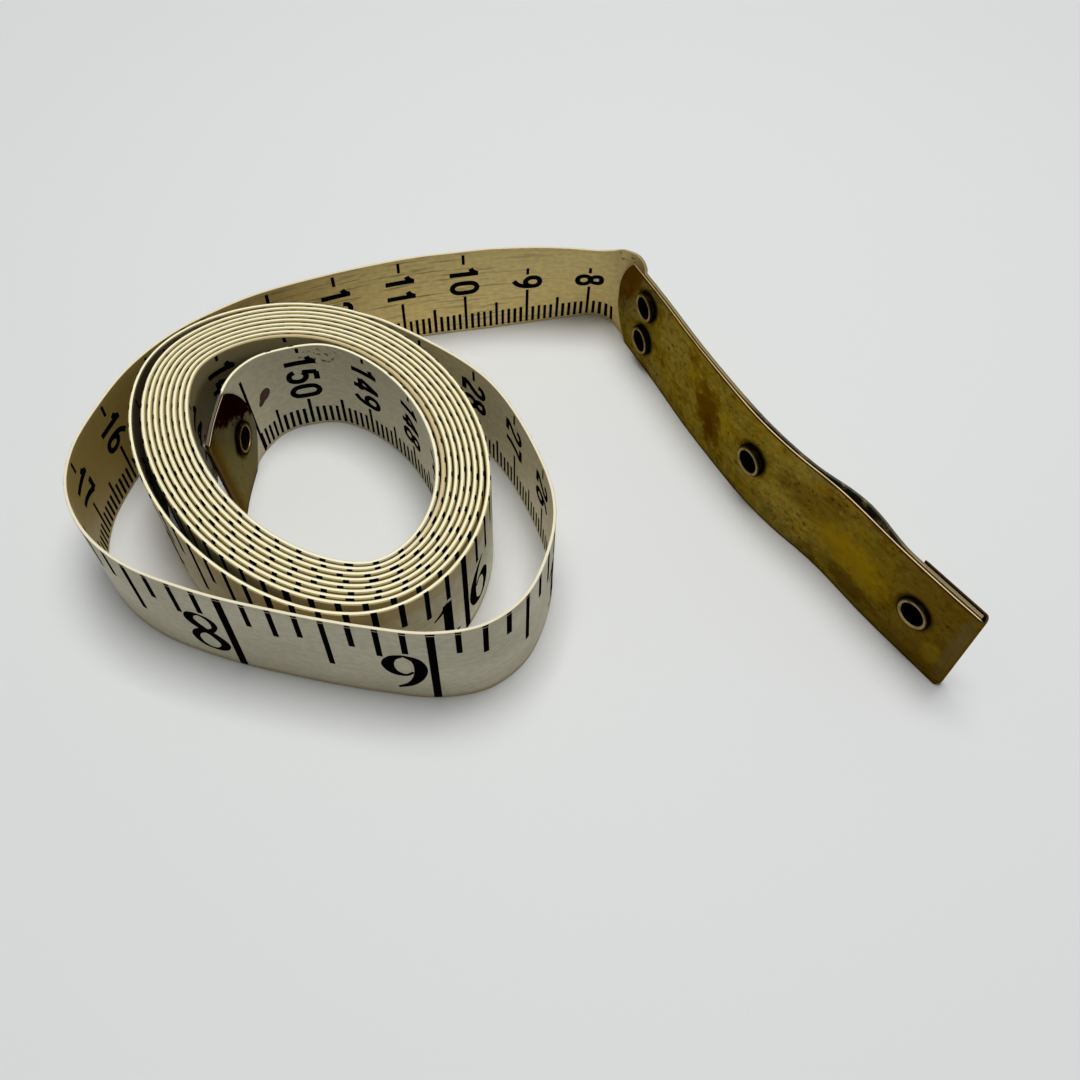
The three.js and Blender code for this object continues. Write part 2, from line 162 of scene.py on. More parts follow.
# Routes, as in the part's source
PLATE_ROUTE = MM * np.array([
    (52.5, -80.1), (40.4, -64.2), (33.4, -55), (27.4, -46.3),
    (21.9, -39.8), (17.9, -34.1), (11.4, -22.5), (5.9, -11.2), (0.9, -1.5),
])
LOOP_ROUTE = np.array([
    (-387, 35.5), (-385.7, 34.9), (-384.3, 33.5), (-381, 29.5), (-370, 18.1), (-358.5, 11.1),
    (-327, 2.5), (-309, 0.75), (-287, 0.45), (-258, 1.8), (-241, 4.3), (-230, 7.4),
    (-222, 9), (-214, 8.9), (-206, 7.3), (-195, 4), (-180, 1.35), (-154.5, 1.5),
    (-128.5, 4.7), (-113.5, 7.5), (-101, 8.7), (-88.5, 8.5), (-76, 7.9), (-64, 6.3),
    (-39, 3.4), (-11, 0.35),
])
TAIL_ROUTE = np.array([(15, 0.45), (45, 2.5), (62.5, 3.7), (114, 4.3), (137, 2.7), (146, 0.9)])

# Printed scale
CENTIMETRE_START = 1.1 * MM
INCH_START = -0.05 * MM
PRINT_STRETCH = 1.0005
INK_HEIGHT = 0.012 * MM
INK_DEPTH = 0.15 * MM
BAR_STEP = 1.3 * MM
STROKE_STEP = 0.34 * MM
NUMERAL_COLUMNS = 4
INCH_MARK_COLUMNS = 3
INCH = 25.4 * MM
INCHES = 60
CENTIMETRES = 151

# Camera, as it stood for the photograph
CAMERA_PLACE = (3.9 * MM, -91.5 * MM, 114.2 * MM)
CAMERA_DOWN = 54.86
CAMERA_ROLL = 1.96
CAMERA_ANGLE = 57.03
CAMERA_CLIP = 5 * MM

half_width = TAPE_WIDTH / 2
rim = EYELET_RIM / 2
barrel = EYELET_BORE / 2 + EYELET_WALL


def smoothstep(low, high, value):
    t = np.clip((np.asarray(value, float) - low) / (high - low), 0, 1)
    return t * t * (3 - 2 * t)


def follow(places, values, place):
    """Number that runs smoothly through values at places, and stays level outside them."""
    slope = np.zeros(len(places))
    slope[1:-1] = (values[2:] - values[:-2]) / (places[2:] - places[:-2])
    place = np.clip(place, places[0], places[-1])
    i = np.clip(np.searchsorted(places, place, "right") - 1, 0, len(places) - 2)
    width = places[i + 1] - places[i]
    t = (place - places[i]) / width
    level = values[i] + (values[i + 1] - values[i]) * (3 * t ** 2 - 2 * t ** 3)
    return level + width * ((t ** 3 - 2 * t ** 2 + t) * slope[i] + (t ** 3 - t ** 2) * slope[i + 1])


# Line of the tape

def winding(degrees, stand_off):
    """Points of the winding, by the angle turned past the start of the bundle."""
    degrees = np.asarray(degrees, float)
    angle = np.radians(COIL_START_ANGLE + degrees)
    reach = COIL_RADIUS - COIL_PITCH * degrees / 360 + stand_off
    slope = np.zeros_like(angle)
    for count, height, turn in COIL_WAVES:
        phase = count * (angle - math.radians(turn))
        reach = reach + height * np.cos(phase)
        slope = slope - height * count * np.sin(phase)
    x = COIL_CENTRE[0] + reach * np.cos(angle) - slope * np.sin(angle)
    y = COIL_CENTRE[1] + reach * np.sin(angle) + slope * np.cos(angle)
    return np.stack([x, y], axis=-1)


def bundle(turn):
    """Points of the wound bundle, whose first turn is slack."""
    turn = np.asarray(turn, float)
    bump = turn ** 2 * np.clip(1 - turn, 0, None) ** 3
    peak = COIL_SLACK_PEAK ** 2 * (1 - COIL_SLACK_PEAK) ** 3
    return winding(360 * turn, COIL_SLACK * bump / peak)


def smooth(knots, first, last, step_at):
    """Points along a centripetal curve through knots, from knot first up to knot last."""
    stretches = []
    for i in range(first, last):
        p1, p2 = knots[i], knots[i + 1]
        p0 = knots[i - 1] if i > 0 else 2 * p1 - p2
        p3 = knots[i + 2] if i + 2 < len(knots) else 2 * p2 - p1
        d0, d1, d2 = (math.sqrt(np.linalg.norm(b - a)) for a, b in ((p0, p1), (p1, p2), (p2, p3)))
        m1 = d1 * ((p1 - p0) / d0 - (p2 - p0) / (d0 + d1) + (p2 - p1) / d1)
        m2 = d1 * ((p2 - p1) / d1 - (p3 - p1) / (d1 + d2) + (p3 - p2) / d2)
        count = max(1, round(np.linalg.norm(p2 - p1) / step_at(i)))
        t = np.arange(count)[:, None] / count
        start = (2 * t ** 3 - 3 * t ** 2 + 1) * p1 + (t ** 3 - 2 * t ** 2 + t) * m1
        end = (3 * t ** 2 - 2 * t ** 3) * p2 + (t ** 3 - t ** 2) * m2
        stretches.append(start + end)
    return np.concatenate(stretches)


class Line:
    """Line on the table, with the length run and the left-hand normal at each point."""

    def __init__(self, points):
        self.points = points
        steps = np.linalg.norm(np.diff(points, axis=0), axis=1)
        self.run = np.concatenate([[0], np.cumsum(steps)])
        self.length = self.run[-1]
        along = np.gradient(points, self.run, axis=0)
        along /= np.linalg.norm(along, axis=1)[:, None]
        self.left = np.stack([-along[:, 1], along[:, 0]], axis=1)

    def at(self, s):
        place = [np.interp(s, self.run, self.points[:, k]) for k in (0, 1)]
        left = [np.interp(s, self.run, self.left[:, k]) for k in (0, 1)]
        return np.stack(place, axis=-1), np.stack(left, axis=-1)


def tape_line():
    """The whole tape, from its zero end to its inner end."""
    crease = winding(LOOP_ROUTE[0, 0], LOOP_ROUTE[0, 1] * MM)
    plate_knots = PLATE_ROUTE + crease
    loop_knots = winding(LOOP_ROUTE[:, 0], LOOP_ROUTE[:, 1] * MM)
    start_knots = bundle([0, COIL_LEAD_TURNS])
    knots = np.concatenate([plate_knots, loop_knots, start_knots])
    turn_first = len(plate_knots) - 2
    turn_last = len(plate_knots) + 2

    def step_at(i):
        return CREASE_STEP if turn_first <= i <= turn_last else LOOP_STEP

    outer = smooth(knots, 0, len(knots) - 2, step_at)
    count = round(COIL_TURNS * COIL_STEPS_PER_TURN)
    coil = bundle(COIL_TURNS * np.arange(count + 1) / count)
    free = winding(360 * COIL_TURNS + TAIL_ROUTE[:, 0], -TAIL_ROUTE[:, 1] * MM)
    end_knots = bundle([COIL_TURNS - COIL_LEAD_TURNS, COIL_TURNS])
    tail_knots = np.concatenate([end_knots, free])
    tail = smooth(tail_knots, 1, len(tail_knots) - 1, lambda i: TAIL_STEP)
    points = np.concatenate([outer, coil, tail[1:], tail_knots[-1:]])
    whole = Line(points)
    at_crease = whole.run[np.argmin(np.linalg.norm(points - crease, axis=1))]
    zero = at_crease - CREASE_FROM_PLATE - (PLATE.length - FOLD_DEPTH)
    first = whole.at(zero)[0]
    return Line(np.concatenate([first[None], points[whole.run > zero + LEAST_STEP]]))


tape = tape_line()
plate_end = PLATE.length - FOLD_DEPTH
crease_end = plate_end + CREASE_LENGTH
tip_start = tape.length - (TIP.length - FOLD_DEPTH)
bend_start = tip_start - TIP_BEND_LENGTH
tail_start = bend_start - TAIL_START_TO_BEND
far_s = EYELET_FAR_FROM_FOLD - FOLD_DEPTH
middle_s = EYELET_MIDDLE_FROM_FOLD - FOLD_DEPTH
pair_s = plate_end - EYELET_PAIR_FROM_END
tip_eyelet_s = tip_start + TIP_EYELET_FROM_END
plate_leaf = EYELET_FAR_FROM_FOLD + rim + PLATE_LEAF_EDGE
tip_leaf = TIP.length - TIP_EYELET_FROM_END - rim - TIP_LEAF_CLEAR
eyelet_z = half_width + EYELET_RAISE
tip_eyelet_z = half_width + TIP_EYELET_RAISE


def tape_edge(s, column, at_tip):
    """How far the top edge (column 1) or the foot (column 2) stands to the left of the tape's line:
    the tape bulges away from the plate, leans where it leaves it, and slants at the tip."""
    t = np.clip((s - plate_leaf) / BULGE_LENGTH, 0, 1)
    bulge = -BULGE_HEIGHT * np.sin(np.pi * t) ** 2
    slant = at_tip * smoothstep(tip_start - TIP_LEAN_RUN, tip_start, s)
    return bulge + follow(CREASE_LEAN[:, 0], CREASE_LEAN[:, column], s - plate_end) + slant


def tape_lift(s):
    """How far an uneven turn stands above the table."""
    wave = 0.5 + 0.3 * np.sin(s / (23.7 * MM)) + 0.2 * np.sin(s / (61.3 * MM) + 1)
    free = smoothstep(crease_end + LIFT_PAST_CREASE[0], crease_end + LIFT_PAST_CREASE[1], s)
    held = 1 - smoothstep(tail_start - TAIL_FADE, tail_start, s)
    return EDGE_LIFT * wave * free * held


def in_bundle(s):
    """1 in the wound bundle, whose worn edges have spread, and 0 in the loop and the inner end."""
    wound = smoothstep(BUNDLE_START - BUNDLE_FADE, BUNDLE_START + BUNDLE_FADE, s)
    return wound * (1 - smoothstep(tail_start - TAIL_FADE, tail_start - TAIL_FADE_END, s))


def tape_thickness(s):
    return TAPE_THICKNESS + (BUNDLE_THICKNESS - TAPE_THICKNESS) * in_bundle(s)


tape_form = (
    tape_edge(tape.run, 1, TIP.top), tape_edge(tape.run, 2, TIP.foot), tape_lift(tape.run))


def on_tape(s, z, out):
    """Points at a length along the tape, a height on it and a distance to the left of its middle."""
    s = np.asarray(s, float)
    z = np.asarray(z, float)
    place, left = tape.at(s)
    top, foot, lift = (np.interp(s, tape.run, values) for values in tape_form)
    aside = foot + (top - foot) * z / TAPE_WIDTH + out
    flat = place + left * aside[..., None]
    return np.concatenate([flat, (z + lift)[..., None]], axis=-1)


# Meshes

def add_object(name, vertices, faces, sharp_angle=35):
    mesh = bpy.data.meshes.new(name)
    mesh.from_pydata([tuple(map(float, v)) for v in vertices], [], faces)
    mesh.validate()
    mesh.shade_smooth()
    mesh.set_sharp_from_angle(angle=math.radians(sharp_angle))
    made = bpy.data.objects.new(name, mesh)
    bpy.context.scene.collection.objects.link(made)
    return made


def loft(name, loops, u, v):
    """Closed solid through loops of points, with u and v as its texture coordinates.
    v has one more column than the loops have points, because the seam has two values."""
    stations, size = loops.shape[:2]
    faces = []
    corners = []
    for i in range(stations - 1):
        for k in range(size):
            after = (k + 1) % size
            faces.append((i * size + k, (i + 1) * size + k, (i + 1) * size + after, i * size + after))
            corners += [(u[i], v[i, k]), (u[i + 1], v[i + 1, k])]
            corners += [(u[i + 1], v[i + 1, k + 1]), (u[i], v[i, k + 1])]
    last = (stations - 1) * size
    faces.append(tuple(range(size)))
    corners += [(u[0], v[0, k]) for k in range(size)]
    faces.append(tuple(last + k for k in reversed(range(size))))
    corners += [(u[-1], v[-1, k]) for k in reversed(range(size))]
    return finish_mesh(add_object(name, loops.reshape(-1, 3), faces), corners)


def finish_mesh(made, corners):
    """Gives a mesh its texture, one pair for each corner of each face, and turns its faces outwards."""
    layer = made.data.uv_layers.new(name="flat")
    layer.data.foreach_set("uv", np.array(corners, np.float32).ravel())
    work = bmesh.new()
    work.from_mesh(made.data)
    bmesh.ops.recalc_face_normals(work, faces=work.faces)
    work.to_mesh(made.data)
    work.free()
    return made


def section(low, high, thickness, bevel, rows):
    """Points round an upright strip at each station: distance to the left, height, and the texture's
    second coordinate, which runs up the left face, over the top edge and down the right face."""
    low, high, bevel = low[:, None], high[:, None], np.broadcast_to(bevel, len(low))[:, None]
    half = np.broadcast_to(thickness, len(low))[:, None] / 2
    face = low + bevel + (high - low - 2 * bevel) * np.linspace(0, 1, rows)
    edge = half - bevel
    side = np.repeat(half, rows, axis=1)
    out = np.concatenate([side, edge, -edge, -side, -edge, edge], axis=1)
    z = np.concatenate([face, high, high, face[:, ::-1], low, low], axis=1)
    right = [RIGHT_FOOT - high, RIGHT_FOOT - face[:, ::-1], RIGHT_FOOT - low]
    under = RIGHT_FOOT - low + EDGE_ROOM
    v = np.concatenate([face, high, *right, under, under + EDGE_ROOM], axis=1)
    return out, z, v


def cut_holes(made, places):
    """Bores round holes, each given by its centre, its axis, its radius and its depth."""
    work = bmesh.new()
    for centre, axis, radius, depth in places:
        turn = Vector(axis).to_track_quat("Z", "Y").to_matrix().to_4x4()
        bmesh.ops.create_cone(
            work, cap_ends=True, segments=EYELET_SIDES, radius1=radius, radius2=radius,
            depth=depth, matrix=Matrix.Translation(centre) @ turn)
    mesh = bpy.data.meshes.new("drill")
    work.to_mesh(mesh)
    work.free()
    drill = bpy.data.objects.new("drill", mesh)
    bpy.context.scene.collection.objects.link(drill)
    modifier = made.modifiers.new("holes", "BOOLEAN")
    modifier.object = drill
    modifier.operation = "DIFFERENCE"
    modifier.solver = "EXACT"
    graph = bpy.context.evaluated_depsgraph_get()
    bored = bpy.data.meshes.new_from_object(made.evaluated_get(graph))
    made.modifiers.clear()
    whole = made.data
    made.data = bored
    bpy.data.meshes.remove(whole)
    bpy.data.objects.remove(drill)
    bpy.data.meshes.remove(mesh)


# Tape

def tape_piece(name, first, last):
    """Part of the tape between two lengths."""
    inside = tape.run[(tape.run > first + LEAST_STEP) & (tape.run < last - LEAST_STEP)]
    s = np.concatenate([[first], inside, [last]])
    low = np.zeros(len(s))
    high = np.full(len(s), TAPE_WIDTH)
    bevel = TAPE_BEVEL + (BUNDLE_BEVEL - TAPE_BEVEL) * in_bundle(s)
    out, z, v = section(low, high, tape_thickness(s), bevel, TAPE_ROWS)
    loops = on_tape(np.repeat(s[:, None], out.shape[1], axis=1), z, out)
    return loft(name, loops, s, v)


# Brass

def rounded_end(end_rise):
    """Distances from a rounded end where its height changes, and half its height at a distance."""
    radius = (half_width ** 2 + end_rise ** 2) / (2 * end_rise)
    first = math.radians(END_FLAT_ANGLE)
    last = math.asin(half_width / radius)
    angles = np.linspace(first, last, END_CURVE_STEPS + 1)

    def half(distance):
        share = np.maximum(math.cos(last), math.cos(first) - np.asarray(distance) / radius)
        return radius * np.sin(np.arccos(share))

    return radius * (math.cos(first) - np.cos(angles)), half


def lean(sheet, z):
    """How far a slanting sheet stands to the left of its line at a height."""
    return sheet.foot + (sheet.top - sheet.foot) * z / TAPE_WIDTH


def folded_sheet(name, sheet, length_at, way, leaf, spots):
    """Brass folded round one end of the tape: a long leaf with a rounded end on the left of
    the tape, the fold, and a short leaf on its right. way is 1 at the tape's zero end."""
    ends, half = rounded_end(sheet.end_rise)
    reach = sheet.length - FOLD_DEPTH
    straight = reach - ends[-1]
    count = math.ceil(straight / BRASS_STEP)
    long_leaf = np.concatenate([reach - ends, straight * (1 - np.arange(1, count + 1) / count)])
    place, long_left = tape.at(length_at(long_leaf))
    points = [place + long_left * sheet.offset]
    halves = [half(reach - long_leaf)]
    place, left = tape.at(length_at(0.0))
    along = np.array([left[1], -left[0]])
    angle = np.pi * np.arange(1, FOLD_STEPS) / FOLD_STEPS
    round_fold = np.cos(angle)[:, None] * left - way * np.sin(angle)[:, None] * along
    points.append(place + sheet.offset * round_fold)
    halves.append(half_width - FOLD_CORNER * (1 - np.abs(np.cos(angle))))
    fold_left = np.repeat(left[None], len(angle), axis=0)
    leaf_reach = leaf - FOLD_DEPTH
    short_leaf = np.linspace(0, leaf_reach, math.ceil(leaf_reach / BRASS_STEP) + 1)
    place, short_left = tape.at(length_at(short_leaf))
    points.append(place - short_left * sheet.offset)
    halves.append(np.full(len(short_leaf), half_width))
    line = Line(np.concatenate(points))
    halves = np.concatenate(halves)
    out, z, v = section(
        half_width - halves, half_width + halves, sheet.thickness, BRASS_BEVEL, BRASS_ROWS)
    thin = np.ones(len(line.run))
    thin[[0, -1]] = END_THINNING
    run = np.repeat(line.run[:, None], out.shape[1], axis=1)
    aside = -way * (out * thin[:, None] + sheet_dents(run, z, reach, spots))
    flat = line.points[:, None, :] + line.left[:, None, :] * aside[..., None]
    tape_left = np.concatenate([long_left, fold_left, short_left])
    flat = flat + tape_left[:, None, :] * lean(sheet, z)[..., None]
    loops = np.concatenate([flat, z[..., None]], axis=-1)
    return loft(name, loops, line.run, v)


def sheet_dents(run, z, reach, spots):
    """How far hand-worked sheet stands proud, and how the eyelets pull it in."""
    wave = np.sin(run / (5.3 * MM) + 2 * z / half_width) * np.sin(z / (4.1 * MM) + 0.7)
    fine = np.sin(run / (2.9 * MM) - z / (3.3 * MM))
    wave = RIPPLE_HEIGHT * wave + FINE_RIPPLE_HEIGHT * fine
    on_leaf = 1 - smoothstep(reach - RIPPLE_FADE, reach, run)
    for u, height in spots:
        away = np.hypot(run - u, z - height)
        wave = wave - DENT_DEPTH * np.exp(-(away / DENT_REACH) ** 2)
    return wave * on_leaf


# Eyelets

def rise(s, side):
    """How far the curved stack rises in front of (side 1) or behind (side -1) an eyelet's flat rim."""
    here, left = tape.at(s)
    there = tape.at(np.array([s - rim, s + rim]))[0]
    return max(0.0, *(side * (there - here) @ left))


def arc(centre, radius, start, end, steps):
    angles = np.radians(np.linspace(start, end, steps + 1))
    return [(centre[0] + radius * math.cos(a), centre[1] + radius * math.sin(a)) for a in angles]


def eyelet(name, sheet, s, height, leaves, share):
    """Turned eyelet: a rim that slopes up to its lip in front, a barrel through the stack and a
    clenched rim behind the tape, or behind both leaves of the sheet. A thin dark floor
    closes its bore. share is how far it stands up."""
    face = sheet.offset + sheet.thickness / 2
    grip = face + (face if leaves == 2 else TAPE_THICKNESS / 2)
    front = EYELET_SEAT + rise(s, 1)
    back = -grip - EYELET_SEAT - rise(s, -1)
    bore = EYELET_BORE / 2
    lip = EYELET_LIP * min(1, 1.5 * share)
    crest = front + EYELET_HEIGHT * share
    edge = front + EYELET_EDGE * share
    wide = rim - bore - lip
    bottom = back - EYELET_CLENCH_SINK * EYELET_CLENCH
    profile = [(barrel, back), (barrel, front)]
    profile += [(rim - EYELET_CHAMFER, front), (rim, front + EYELET_CHAMFER)]
    slope = np.radians(np.linspace(0, 90, RIM_STEPS + 1))
    profile += [(rim - wide + wide * math.cos(a), edge + (crest - edge) * math.sin(a)) for a in slope]
    crest_index = len(profile) - 1
    profile += arc((bore + lip, crest - lip), lip, 90, 180, LIP_STEPS)[1:]
    back_index = len(profile)
    profile += arc((bore + EYELET_CLENCH, bottom), EYELET_CLENCH, 180, 270, CLENCH_STEPS)
    profile += arc((rim - EYELET_CLENCH, bottom), EYELET_CLENCH, 270, 360, CLENCH_STEPS)
    profile += [(rim, back)]
    lengths = np.concatenate([[0], np.cumsum(np.hypot(*np.diff(np.array(profile), axis=0).T))])
    lengths -= lengths[crest_index]
    lengths[back_index:] += EYELET_BACK - lengths[back_index]
    place, left = tape.at(s)
    slope = (sheet.top - sheet.foot) / TAPE_WIDTH
    up = np.array([*(slope * left), 1]) / math.hypot(slope, 1)
    along = np.array([left[1], -left[0], 0])
    axis = np.cross(up, along)
    origin = np.array([*(place + left * lean(sheet, height)), height]) + face * axis
    size = len(profile)
    vertices = []
    faces = []
    corners = []
    angles = 2 * math.pi * np.arange(EYELET_SIDES) / EYELET_SIDES
    ways = [math.cos(angle) * along + math.sin(angle) * up for angle in angles]
    for i, way in enumerate(ways):
        vertices += [origin + radius * way + depth * axis for radius, depth in profile]
        after = (i + 1) % EYELET_SIDES
        for k in range(size):
            next_k = (k + 1) % size
            faces.append((i * size + k, after * size + k, after * size + next_k, i * size + next_k))
            end = lengths[k + 1] if k + 1 < size else lengths[k] + rim - barrel
            turn = (i / EYELET_SIDES, (i + 1) / EYELET_SIDES)
            corners += [(turn[0], lengths[k]), (turn[1], lengths[k]), (turn[1], end), (turn[0], end)]
    low = len(vertices)
    high = low + EYELET_SIDES
    for depth in (back - EYELET_FLOOR, back):
        vertices += [origin + (bore + EYELET_FLOOR_OVERLAP) * way + depth * axis for way in ways]
    for i in range(EYELET_SIDES):
        after = (i + 1) % EYELET_SIDES
        faces.append((low + i, low + after, high + after, high + i))
    faces.append(tuple(range(low, high)))
    faces.append(tuple(reversed(range(high, high + EYELET_SIDES))))
    corners += [(0.5, rim)] * (6 * EYELET_SIDES)
    return finish_mesh(add_object(name, vertices, faces, EYELET_SHARP_ANGLE), corners)


# Numerals: strokes through points (x, y), in hundredths of the numeral's height

PLAIN_WIDTH = 0.56
PLAIN_STROKE = 18.5
BOOK_WIDTH = 0.66
OPEN = False
CLOSED = True


def book(closed, *points):
    """Stroke through points that also have a width."""
    return closed, np.array(points) / 100


def plain(closed, *points):
    """Stroke of even width."""
    return book(closed, *((x, y, PLAIN_STROKE) for x, y in points))


def turned(strokes, width):
    """Strokes turned upside down."""
    return [(closed, points * (-1, -1, 1) + (width, 1, 0)) for closed, points in strokes]


PLAIN = {
    "0": [plain(CLOSED, (28, 94), (12, 84), (7, 50), (12, 16), (28, 6), (44, 16), (49, 50), (44, 84))],
    "1": [plain(OPEN, (34, 0), (34, 100)), plain(OPEN, (34, 95), (24, 80), (12, 74))],
    "2": [plain(OPEN, (8, 70), (12, 86), (28, 94), (45, 85), (46, 68), (36, 48), (19, 27), (9, 7)),
          plain(OPEN, (5, 6), (51, 6))],
    "3": [plain(OPEN, (8, 76), (14, 88), (28, 94), (43, 86), (44, 70), (36, 57), (24, 54)),
          plain(OPEN, (24, 54), (40, 50), (48, 34), (46, 16), (28, 6), (12, 12), (7, 27))],
    "4": [plain(OPEN, (38, 0), (38, 100)), plain(OPEN, (37, 96), (6, 31)),
          plain(OPEN, (3, 27), (53, 27))],
    "5": [plain(OPEN, (12, 94), (47, 94)), plain(OPEN, (13.5, 96), (10, 50)),
          plain(OPEN, (10, 51), (21, 60), (34, 59), (46, 48), (48, 29), (40, 11), (26, 6), (12, 11),
                (7, 24))],
    "6": [plain(CLOSED, (28.5, 58), (13, 48), (8, 31), (13, 13), (28.5, 6), (44, 13), (49, 31), (44, 48)),
          plain(OPEN, (8, 33), (10, 60), (19, 84), (36, 99))],
    "7": [plain(OPEN, (4, 94), (52, 94)), plain(OPEN, (49, 94), (33, 62), (24, 30), (21, 0))],
    "8": [plain(CLOSED, (28, 94), (13, 89), (10, 75), (16, 60), (28, 53), (40, 60), (46, 75), (43, 89)),
          plain(CLOSED, (28, 53), (13, 46), (7, 28), (13, 12), (28, 6), (43, 12), (49, 28), (43, 46))],
}
PLAIN["9"] = turned(PLAIN["6"], PLAIN_WIDTH)

BOOK = {
    "0": [book(CLOSED, (33, 97, 5), (16, 86, 13), (11, 50, 18), (16, 14, 13), (33, 3, 5), (50, 14, 13),
               (55, 50, 18), (50, 86, 13))],
    "1": [book(OPEN, (34, 2, 18), (34, 98, 18)), book(OPEN, (36, 97, 10), (22, 83, 7), (8, 74, 3.5)),
          book(OPEN, (12, 2.5, 5), (56, 2.5, 5))],
    "2": [book(OPEN, (18, 70, 13), (14, 83, 9), (31, 96.5, 5), (51, 86, 14), (54, 70, 17), (42, 48, 11),
               (22, 26, 6), (8, 7, 4.5)),
          book(OPEN, (7, 6, 10), (30, 8, 12), (50, 6, 10), (58, 22, 3.5))],
    "3": [book(OPEN, (16, 78, 13), (17, 90, 8), (32, 97, 5), (48, 86, 13), (50, 73, 15), (41, 58, 8),
               (26, 53, 4.5)),
          book(OPEN, (26, 53, 4.5), (46, 46, 10), (56, 28, 18), (48, 10, 12), (30, 3, 5), (14, 10, 8),
               (14, 23, 13))],
    "4": [book(OPEN, (43, 2, 17), (43, 98, 17)), book(OPEN, (43, 97, 5), (5, 29, 5)),
          book(OPEN, (3, 27, 7), (62, 27, 7)), book(OPEN, (28, 2.5, 5), (58, 2.5, 5))],
    "5": [book(OPEN, (15, 92, 10), (34, 89, 12), (54, 95, 6)), book(OPEN, (15, 95, 5), (13, 52, 5)),
          book(OPEN, (13, 52, 4.5), (30, 60, 7), (49, 50, 13), (57, 31, 18), (49, 11, 12), (29, 3, 5),
               (13, 10, 9), (14, 22, 13))],
    "7": [book(OPEN, (7, 84, 4), (12, 93, 9), (34, 91, 12), (59, 95, 5)),
          book(OPEN, (59, 96, 4.5), (43, 66, 8), (32, 36, 14), (30, 3, 18))],
    "8": [book(CLOSED, (32, 97.5, 5), (16, 90, 14), (13, 77, 17), (23, 63, 16), (37, 54, 12),
               (49, 65, 8), (52, 79, 11), (46, 91, 9)),
          book(CLOSED, (33, 52, 12), (17, 43, 12), (10, 27, 13), (17, 9, 9), (34, 2.5, 5), (51, 10, 12),
               (57, 25, 17), (48, 41, 16))],
    "9": [book(OPEN, (46, 52, 5), (35, 42, 6), (18, 47, 14), (10, 67, 19), (18, 88, 13), (34, 97.5, 5)),
          book(OPEN, (34, 97.5, 5), (51, 87, 14), (57, 65, 19), (53, 39, 17), (40, 16, 11),
               (20, 2, 4.5))],
}
BOOK["6"] = turned(BOOK["9"], BOOK_WIDTH)


def stroke_edges(closed, knots, step):
    """The two edges of a stroke that runs smoothly through points with a width."""
    if closed:
        knots = np.concatenate([knots[-1:], knots, knots[:2]])
        middle = smooth(knots, 1, len(knots) - 2, lambda i: step)
        along = np.roll(middle, -1, axis=0) - np.roll(middle, 1, axis=0)
    else:
        middle = np.concatenate([smooth(knots, 0, len(knots) - 1, lambda i: step), knots[-1:]])
        along = np.gradient(middle, axis=0)
    along = along[:, :2] / np.linalg.norm(along[:, :2], axis=1)[:, None]
    aside = np.stack([-along[:, 1], along[:, 0]], axis=1) * middle[:, 2:] / 2
    return middle[:, :2] + aside, middle[:, :2] - aside


class Ink:
    """Printing on one face of the tape: side 1 is the left-hand face, side -1 the right-hand one."""

    def __init__(self, side):
        self.side = side
        self.marks = []
        self.faces = []
        self.count = 0

    def ribbon(self, one, other, closed=False, columns=2):
        """Printed band between two edges, each a row of points (s, z)."""
        count = len(one)
        size = 2 * columns
        share = np.linspace(0, 1, columns)[None, :, None]
        band = one[:, None, :] * (1 - share) + other[:, None, :] * share
        face = np.full((count, columns, 1), INK_HEIGHT)
        under = np.full((count, columns, 1), -INK_DEPTH)
        above = np.concatenate([band, face], axis=2)
        below = np.concatenate([band[:, ::-1], under], axis=2)
        first = self.count
        self.count += count * size
        self.marks.append(np.concatenate([above, below], axis=1).reshape(-1, 3))
        for i in range(count if closed else count - 1):
            here = first + size * i
            after = first + size * ((i + 1) % count)
            for k in range(size):
                next_k = (k + 1) % size
                self.faces.append((here + k, after + k, after + next_k, here + next_k))
        if not closed:
            last = first + size * (count - 1)
            self.faces.append(tuple(first + k for k in range(size)))
            self.faces.append(tuple(last + k for k in reversed(range(size))))

    def bar(self, s, width, low, high, columns=2):
        """Upright mark, with the small unevenness of a worn print."""
        slant = rng.uniform(-0.03, 0.03) * MM
        width = width * rng.uniform(0.92, 1.08)
        share = np.linspace(0, 1, max(2, math.ceil((high - low) / BAR_STEP) + 1))
        one = np.stack([s - width / 2 + slant * share, low + (high - low) * share], axis=1)
        self.ribbon(one, one + np.array([width, 0]), False, columns)

    def numeral(self, strokes, height, place):
        for closed, knots in strokes:
            one, other = stroke_edges(closed, knots, STROKE_STEP / height)
            self.ribbon(place(one), place(other), closed, NUMERAL_COLUMNS)

    def finish(self, name, first, last):
        """Object with the marks that lie between two lengths along the tape."""
        marks = np.concatenate(self.marks)
        out = tape_thickness(marks[:, 0]) / 2 + marks[:, 2]
        spots = on_tape(marks[:, 0], marks[:, 1], self.side * out)
        keep = (marks[:, 0] >= first) & (marks[:, 0] < last)
        faces = [face for face in self.faces if keep[face[0]]]
        used = np.unique(np.concatenate([np.array(face) for face in faces]))
        order = np.full(len(marks), -1)
        order[used] = np.arange(len(used))
        made = add_object(name, spots[used], [tuple(int(order[k]) for k in face) for face in faces])
        corner = np.empty(len(made.data.loops), int)
        made.data.loops.foreach_get("vertex_index", corner)
        return finish_mesh(made, marks[used][corner][:, :2])


def printed(start, distance):
    """Length along the tape of a distance on a printed scale."""
    return start + distance * PRINT_STRETCH


